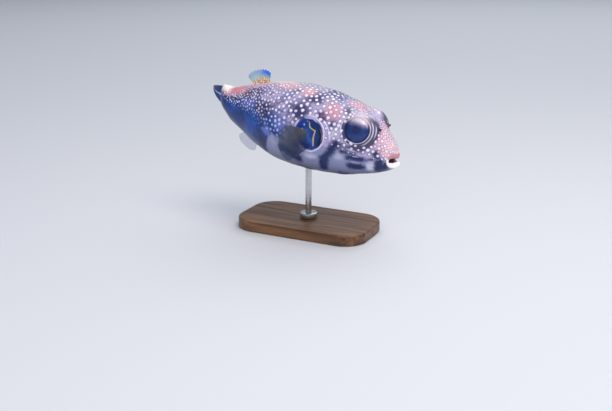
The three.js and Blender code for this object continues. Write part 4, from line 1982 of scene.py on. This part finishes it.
@dataclass(frozen=True)
class OiledWalnut:
    """Walnut board, planed and oiled: brown, straight-grained, with open pores.

    Walnut's pores are about 0.2 mm wide. They are drawn at 0.8 mm, so that they show.
    """

    light: str = "#805838"
    dark: str = "#3f281a"
    pore: str = "#23150d"
    warp_mm: float = 30.0
    figure_mm: float = 7.0
    ring_mm: float = 6.7293
    pore_mm: float = 0.8

    def make(self) -> Material:
        """Builds the material, with its grain along X.

        Returns:
            The walnut.
        """
        recipe = Recipe("oiled_walnut")
        add = recipe.add
        place = add("TexCoord", output="Object")
        warp = add("Mapping", {"Vector": place, "Scale": (0.07, 1.0, 0.8)})
        cloud = add("TexNoise", {"Vector": warp, "Scale": scale_for(self.warp_mm),
                                 "Detail": 3.0}, output="Color")
        bent = add("VectorMath", {0: cloud, 1: (0.0, 18 * MM, 9 * MM), 2: warp}, **TIMES_PLUS)
        figure = add("TexNoise", {"Vector": bent, "Scale": scale_for(self.figure_mm),
                                  "Detail": 3.0, "Roughness": 0.6})
        # At scale 1, the wave texture's bands are 2 pi / 20 apart.
        rings = add("TexWave", {"Vector": bent, "Distortion": 5.0, "Detail": 3.0,
                                "Scale": scale_for(self.ring_mm) * 2 * math.pi / 20},
                    output="Fac", bands_direction="Y", wave_profile="SAW")
        figure = add("Math", {0: rings, 1: 0.12, 2: figure}, **TIMES_PLUS)
        figure = add("MapRange", {"Value": figure, "From Min": 0.38, "From Max": 0.74})
        streak = add("Mapping", {"Vector": place, "Scale": (0.045, 1.0, 1.0)})
        pores = add("TexNoise", {"Vector": streak, "Scale": scale_for(self.pore_mm),
                                 "Detail": 2.0})
        pore = add("MapRange", {"Value": pores, "From Min": 0.6, "From Max": 0.72,
                                "To Max": 0.8}, **SOFT)
        colour = add("Mix", {"Factor": figure, 6: self.light, 7: self.dark}, **IN_COLOUR)
        colour = add("Mix", {"Factor": pore, 6: colour, 7: self.pore}, **IN_COLOUR)
        rough = add("MapRange", {"Value": figure, "To Min": 0.34, "To Max": 0.46})
        bump = add("Bump", {"Height": pore, "Strength": 0.35, "Distance": 0.15 * MM}, invert=True)
        return recipe.finish({"Base Color": colour, "Roughness": rough, "IOR": 1.48,
                              "Normal": bump})


@dataclass(frozen=True)
class BrushedSteel:
    """Stainless steel, ground on a lathe: fine rings round the bar and a soft gleam.

    Real grinding marks are under 0.1 mm apart. They are drawn at 0.5 mm, so that they show.
    """

    tone: str = "#c9cacb"
    ring_mm: float = 0.5

    def make(self) -> Material:
        """Builds the material, with its grinding marks level.

        Returns:
            The steel.
        """
        recipe = Recipe("brushed_stainless_steel")
        add = recipe.add
        place = add("TexCoord", output="Object")
        level = add("Mapping", {"Vector": place, "Scale": (0.05, 0.05, 1.0)})
        marks = add("TexNoise", {"Vector": level, "Scale": scale_for(self.ring_mm),
                                 "Detail": 3.0, "Roughness": 0.7})
        rough = add("MapRange", {"Value": marks, "From Min": 0.3, "From Max": 0.7,
                                 "To Min": 0.2, "To Max": 0.36})
        bump = add("Bump", {"Height": marks, "Strength": 0.2, "Distance": 0.05 * MM})
        return recipe.finish({"Base Color": self.tone, "Metallic": 1.0, "Roughness": rough,
                              "Normal": bump})


@dataclass(frozen=True)
class Stand:
    """The display stand: a rounded walnut base, a steel collar and one steel rod."""

    corner: float = 30 * MM
    corner_segments: int = 18
    bevel: float = 2 * MM
    bevel_segments: int = 4
    rod_bevel: float = 0.4 * MM
    collar_bevel: float = 0.8 * MM
    clearance: float = 0.3 * MM
    screw_radius: float = 1.6 * MM
    screw_depth: float = 4 * MM
    drill_length: float = 40 * MM
    overcut: float = 1 * MM
    crisp_over: float = math.radians(35)

    def _select_edges(self, piece: Piece, upright: bool, top: float) -> None:
        """Selects edges of a flat board for a bevel, in edit mode.

        Args:
            piece: The board.
            upright: Whether to take the upright edges, not those of top and underside.
            top: The board's thickness.
        """
        bpy.ops.object.mode_set(mode="EDIT")
        mesh = bmesh.from_edit_mesh(piece.data)
        bpy.ops.mesh.select_all(action="DESELECT")
        mesh.select_mode = {"EDGE"}
        for edge in mesh.edges:
            a, b = (v.co for v in edge.verts)
            edge.select_set((abs(a.z - b.z) > top / 2) == upright)
        bmesh.update_edit_mesh(piece.data)

    def _bar(self, name: str, low: Vector, high: Vector, bevel: float) -> Piece:
        """Adds an upright round bar that fills a box, with its rims bevelled.

        Args:
            name: The bar's name.
            low: The box's lowest corner.
            high: Its highest.
            bevel: The width of the bevel.

        Returns:
            The bar.
        """
        bar = new_primitive("cylinder", name, vertices=96, radius=(high.x - low.x) / 2,
                            depth=high.z - low.z, location=(low + high) / 2)
        apply_modifier(bar, "BEVEL", width=bevel, segments=3, limit_method="ANGLE",
                       angle_limit=math.radians(60))
        return bar

    def _bore(self, piece: Piece, low: Vector, high: Vector, radius: float,
              turn: float = 0.0) -> None:
        """Cuts a round hole into a piece.

        Args:
            piece: The piece.
            low: One end of the hole.
            high: The other end.
            radius: Its radius.
            turn: How far the drill is turned about X, from upright.
        """
        drill = new_primitive("cylinder", "drill", vertices=48, radius=radius,
                              depth=(high - low).length, location=(low + high) / 2,
                              rotation=(turn, 0, 0))
        apply_modifier(piece, "BOOLEAN", object=drill, operation="DIFFERENCE", solver="EXACT")
        bpy.data.objects.remove(drill)

    def build(self) -> None:
        """Makes base, rod and collar and dresses them."""
        rod_low, rod_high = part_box("stand_rod")
        hole = (rod_high.x - rod_low.x) / 2 + self.clearance
        axis = (rod_low + rod_high) / 2
        axis.z = 0
        self._build_base(axis, rod_low.z - self.clearance, hole)
        steel = BrushedSteel().make()
        rod = self._bar("display_rod", rod_low, rod_high, self.rod_bevel)
        install(rod, "stand_steel", steel, "stand_rod", crisp_over=self.crisp_over)
        self._build_collar(axis, hole, steel)

    def _build_base(self, axis: Vector, hole_floor: float, hole: float) -> None:
        """Makes the walnut base, with a blind hole for the rod.

        Args:
            axis: Where the rod's axis meets the ground.
            hole_floor: The height of the hole's floor.
            hole: The hole's radius.
        """
        low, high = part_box("stand_base")
        base = new_primitive("cube", "display_base", size=1, location=(low + high) / 2,
                             scale=high - low)
        for upright, width, segments in ((True, self.corner, self.corner_segments),
                                         (False, self.bevel, self.bevel_segments)):
            self._select_edges(base, upright, high.z)
            bpy.ops.mesh.bevel(offset=width, segments=segments, affect="EDGES")
            bpy.ops.object.mode_set(mode="OBJECT")
        floor = axis + Vector((0, 0, hole_floor))
        self._bore(base, floor, floor + Vector((0, 0, self.drill_length)), hole)
        install(base, "stand_wood", OiledWalnut().make(), "stand_base", crisp_over=self.crisp_over)

    def _build_collar(self, axis: Vector, hole: float, steel: Material) -> None:
        """Makes the collar, bored for the rod, with a screw hole in its side.

        Args:
            axis: Where the rod's axis meets the ground.
            hole: The bore's radius.
            steel: What it is made of.
        """
        low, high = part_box("stand_collar")
        collar = self._bar("display_collar", low, high, self.collar_bevel)
        self._bore(collar, axis + Vector((0, 0, low.z - self.overcut)),
                   axis + Vector((0, 0, high.z + self.overcut)), hole)
        side = axis + Vector((0, low.y, (low.z + high.z) / 2))
        self._bore(collar, side - Vector((0, 2 * self.overcut, 0)),
                   side + Vector((0, self.screw_depth, 0)), self.screw_radius, math.pi / 2)
        install(collar, "stand_steel", steel, "stand_collar", crisp_over=self.crisp_over)


# ---- studio ----


@dataclass(frozen=True)
class Lamp:
    """A soft round lamp: place, diameter, power, tint, and whether gloss mirrors it."""

    name: str
    place: Triple
    size: float
    watts: float
    colour: str
    mirrored: bool = True


@dataclass(frozen=True)
class Studio:
    """Pale floor, soft lamps and the camera."""

    azimuth: float = math.radians(26.2)
    elevation: float = math.radians(17.6)
    distance: float = 1.0385
    aim: Triple = (0.0, 0.0, 0.130)
    shift_right: float = 0.00333
    shift_up: float = 0.0956
    lens: float = 49.47
    floor_colour: str = "#cfd2d8"
    lamps: tuple[Lamp, ...] = (
        Lamp("key_lamp", (0.7, -0.25, 1.4), 0.9, 13, "#fff6ee"),
        Lamp("fill_lamp", (0.8, -1.9, 0.8), 3.0, 29, "#f2f2ff", mirrored=False),
        Lamp("sky_lamp", (0.0, 2.5, 4.0), 6.0, 140, "#fbfcff"),
    )
    sky_colour: str = "#dfe6f2"
    sky_strength: float = 0.38

    def add_camera(self) -> None:
        """Adds the camera and makes it the scene's own."""
        az, el = self.azimuth, self.elevation
        right = Vector((math.cos(az), math.sin(az), 0))
        back = Vector((math.sin(az) * math.cos(el), -math.cos(az) * math.cos(el), math.sin(el)))
        up = back.cross(right)
        camera = bpy.data.objects.new("camera", bpy.data.cameras.new("camera"))
        bpy.context.scene.collection.objects.link(camera)
        camera.data.lens = self.lens
        camera.data.sensor_width = 36.0
        turn = Matrix((right, up, back)).transposed()
        place = (Vector(self.aim) + back * self.distance - right * self.shift_right
                 - up * self.shift_up)
        camera.matrix_world = Matrix.Translation(place) @ turn.to_4x4()
        bpy.context.scene.camera = camera

    def add_floor(self) -> None:
        """Adds the floor, a wide plain plane of matt paper."""
        floor = new_primitive("plane", "studio_floor", size=40)
        paper = Recipe("matt_studio_paper")
        paper.finish({"Base Color": self.floor_colour, "Roughness": 0.9})
        floor.data.materials.append(paper.material)
        floor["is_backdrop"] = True

    def add_lamp(self, spec: Lamp) -> None:
        """Hangs a lamp so that it faces the model.

        Args:
            spec: The lamp's sizes.
        """
        lamp = bpy.data.objects.new(spec.name, bpy.data.lights.new(spec.name, "AREA"))
        bpy.context.scene.collection.objects.link(lamp)
        lamp.data.shape = "DISK"
        lamp.data.size = spec.size
        lamp.data.energy = spec.watts
        lamp.data.color = linear(spec.colour)[:3]
        lamp.visible_glossy = spec.mirrored
        lamp.location = spec.place
        away = Vector(self.aim) - lamp.location
        lamp.rotation_euler = away.to_track_quat("-Z", "Y").to_euler()

    def build(self) -> None:
        """Sets up the whole studio."""
        self.add_camera()
        self.add_floor()
        for lamp in self.lamps:
            self.add_lamp(lamp)
        world = bpy.data.worlds.new("studio")
        world.use_nodes = True
        sky = world.node_tree.nodes["Background"].inputs
        sky["Color"].default_value = linear(self.sky_colour)
        sky["Strength"].default_value = self.sky_strength
        bpy.context.scene.world = world
        bpy.context.scene.view_settings.view_transform = "Standard"


# ---- model ----


@dataclass(frozen=True)
class Pufferfish:
    """The whole animal: skin, fins, eyes, beak and nostril flaps."""

    body: Body = Body()
    eye: EyeSeat = EyeSeat()
    mouth: Mouth = Mouth()
    dorsal: FinMembrane = FinMembrane(
        "dorsal_membrane", flesh="#cf9a7c", fleck="#fdeed6", ray="#dfe596", web="#bcd2ac",
        web_behind="#d0e8cf", tip="#1676f8", flesh_ends=0.42, web_alpha=0.74, ray_alpha=0.97)
    anal: FinMembrane = FinMembrane(
        "anal_membrane", flesh="#5f6b94", fleck="#8f95b0", ray="#9aa3bd", web="#8f9cc0",
        web_behind="#8f9cc0", tip="#8b9cc6", flesh_ends=0.2, web_alpha=0.16, ray_alpha=0.4,
        root_alpha=0.7)
    caudal: FinMembrane = FinMembrane(
        "caudal_membrane", flesh="#2b3f7c", fleck="#d5d8e6", ray="#2f56ae", web="#1b3a88",
        web_behind="#1d3c86", tip="#1a3478", flesh_ends=0.1, web_alpha=0.85, streak=0.85)
    pectoral: FinMembrane = FinMembrane(
        "pectoral_membrane", flesh="#16296a", fleck="#7d7648", ray="#6c6b5a", web="#4f5248",
        web_behind="#0f2850", tip="#3c4962", flesh_ends=0.03, web_alpha=0.64, ray_alpha=0.88,
        root_alpha=0.3, root_clear=0.12, edge_clear=0.4)

    def fins(self) -> list[Fin]:
        """Lists the five fins.

        Returns:
            The fins, not yet built.
        """
        return [
            MidlineFin(body=self.body, node="dorsal_fin", membrane=self.dorsal, rays=10,
                       thick_root=3.2, thick_tip=0.9, rounded=0.3, scallop=0.1),
            MidlineFin(body=self.body, node="anal_fin", membrane=self.anal, rays=10,
                       thick_root=2.6, thick_tip=0.9, rounded=0.3, start=190, end=208, tall=19,
                       lean_front=math.radians(8), tilt=math.radians(6), upward=-1),
            TailFin(body=self.body, node="caudal_fin", membrane=self.caudal, rays=9,
                    thick_root=3.4, thick_tip=1.0, rounded=0.16, pleat=0.7),
            *(PectoralFin(body=self.body, node=f"pectoral_fin_{side.name.lower()}",
                          membrane=self.pectoral, rays=16, thick_root=2.4, thick_tip=0.9,
                          rounded=0.22, side=side) for side in Side),
        ]

    def build(self) -> None:
        """Builds every piece of the fish and sets it on the model."""
        Skin(self.body, self.eye, self.mouth, Markings(self.eye)).build()
        for fin in self.fins():
            fin.build()
        Beak(self.body, self.mouth).build()
        flap_skin = FlapSkin().make()
        for side in Side:
            Eye(self.body, self.eye, side).build()
            NostrilFlaps(side).build(flap_skin)


def write_sizes() -> None:
    """Gathers the boxes of the solids and of the dressed model as plain lists."""
    boxes = {"cad": CAD_BOX, "visual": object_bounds()}
    plain = {name: [list(map(float, corner)) for corner in box] for name, box in boxes.items()}


def main() -> None:
    """Builds the studio, the fish and its stand, in that order."""
    logging.basicConfig(level=logging.INFO, format="%(name)s: %(message)s")
    Studio().build()
    Pufferfish().build()
    Stand().build()
    write_sizes()


if __name__ == "__main__":
    main()
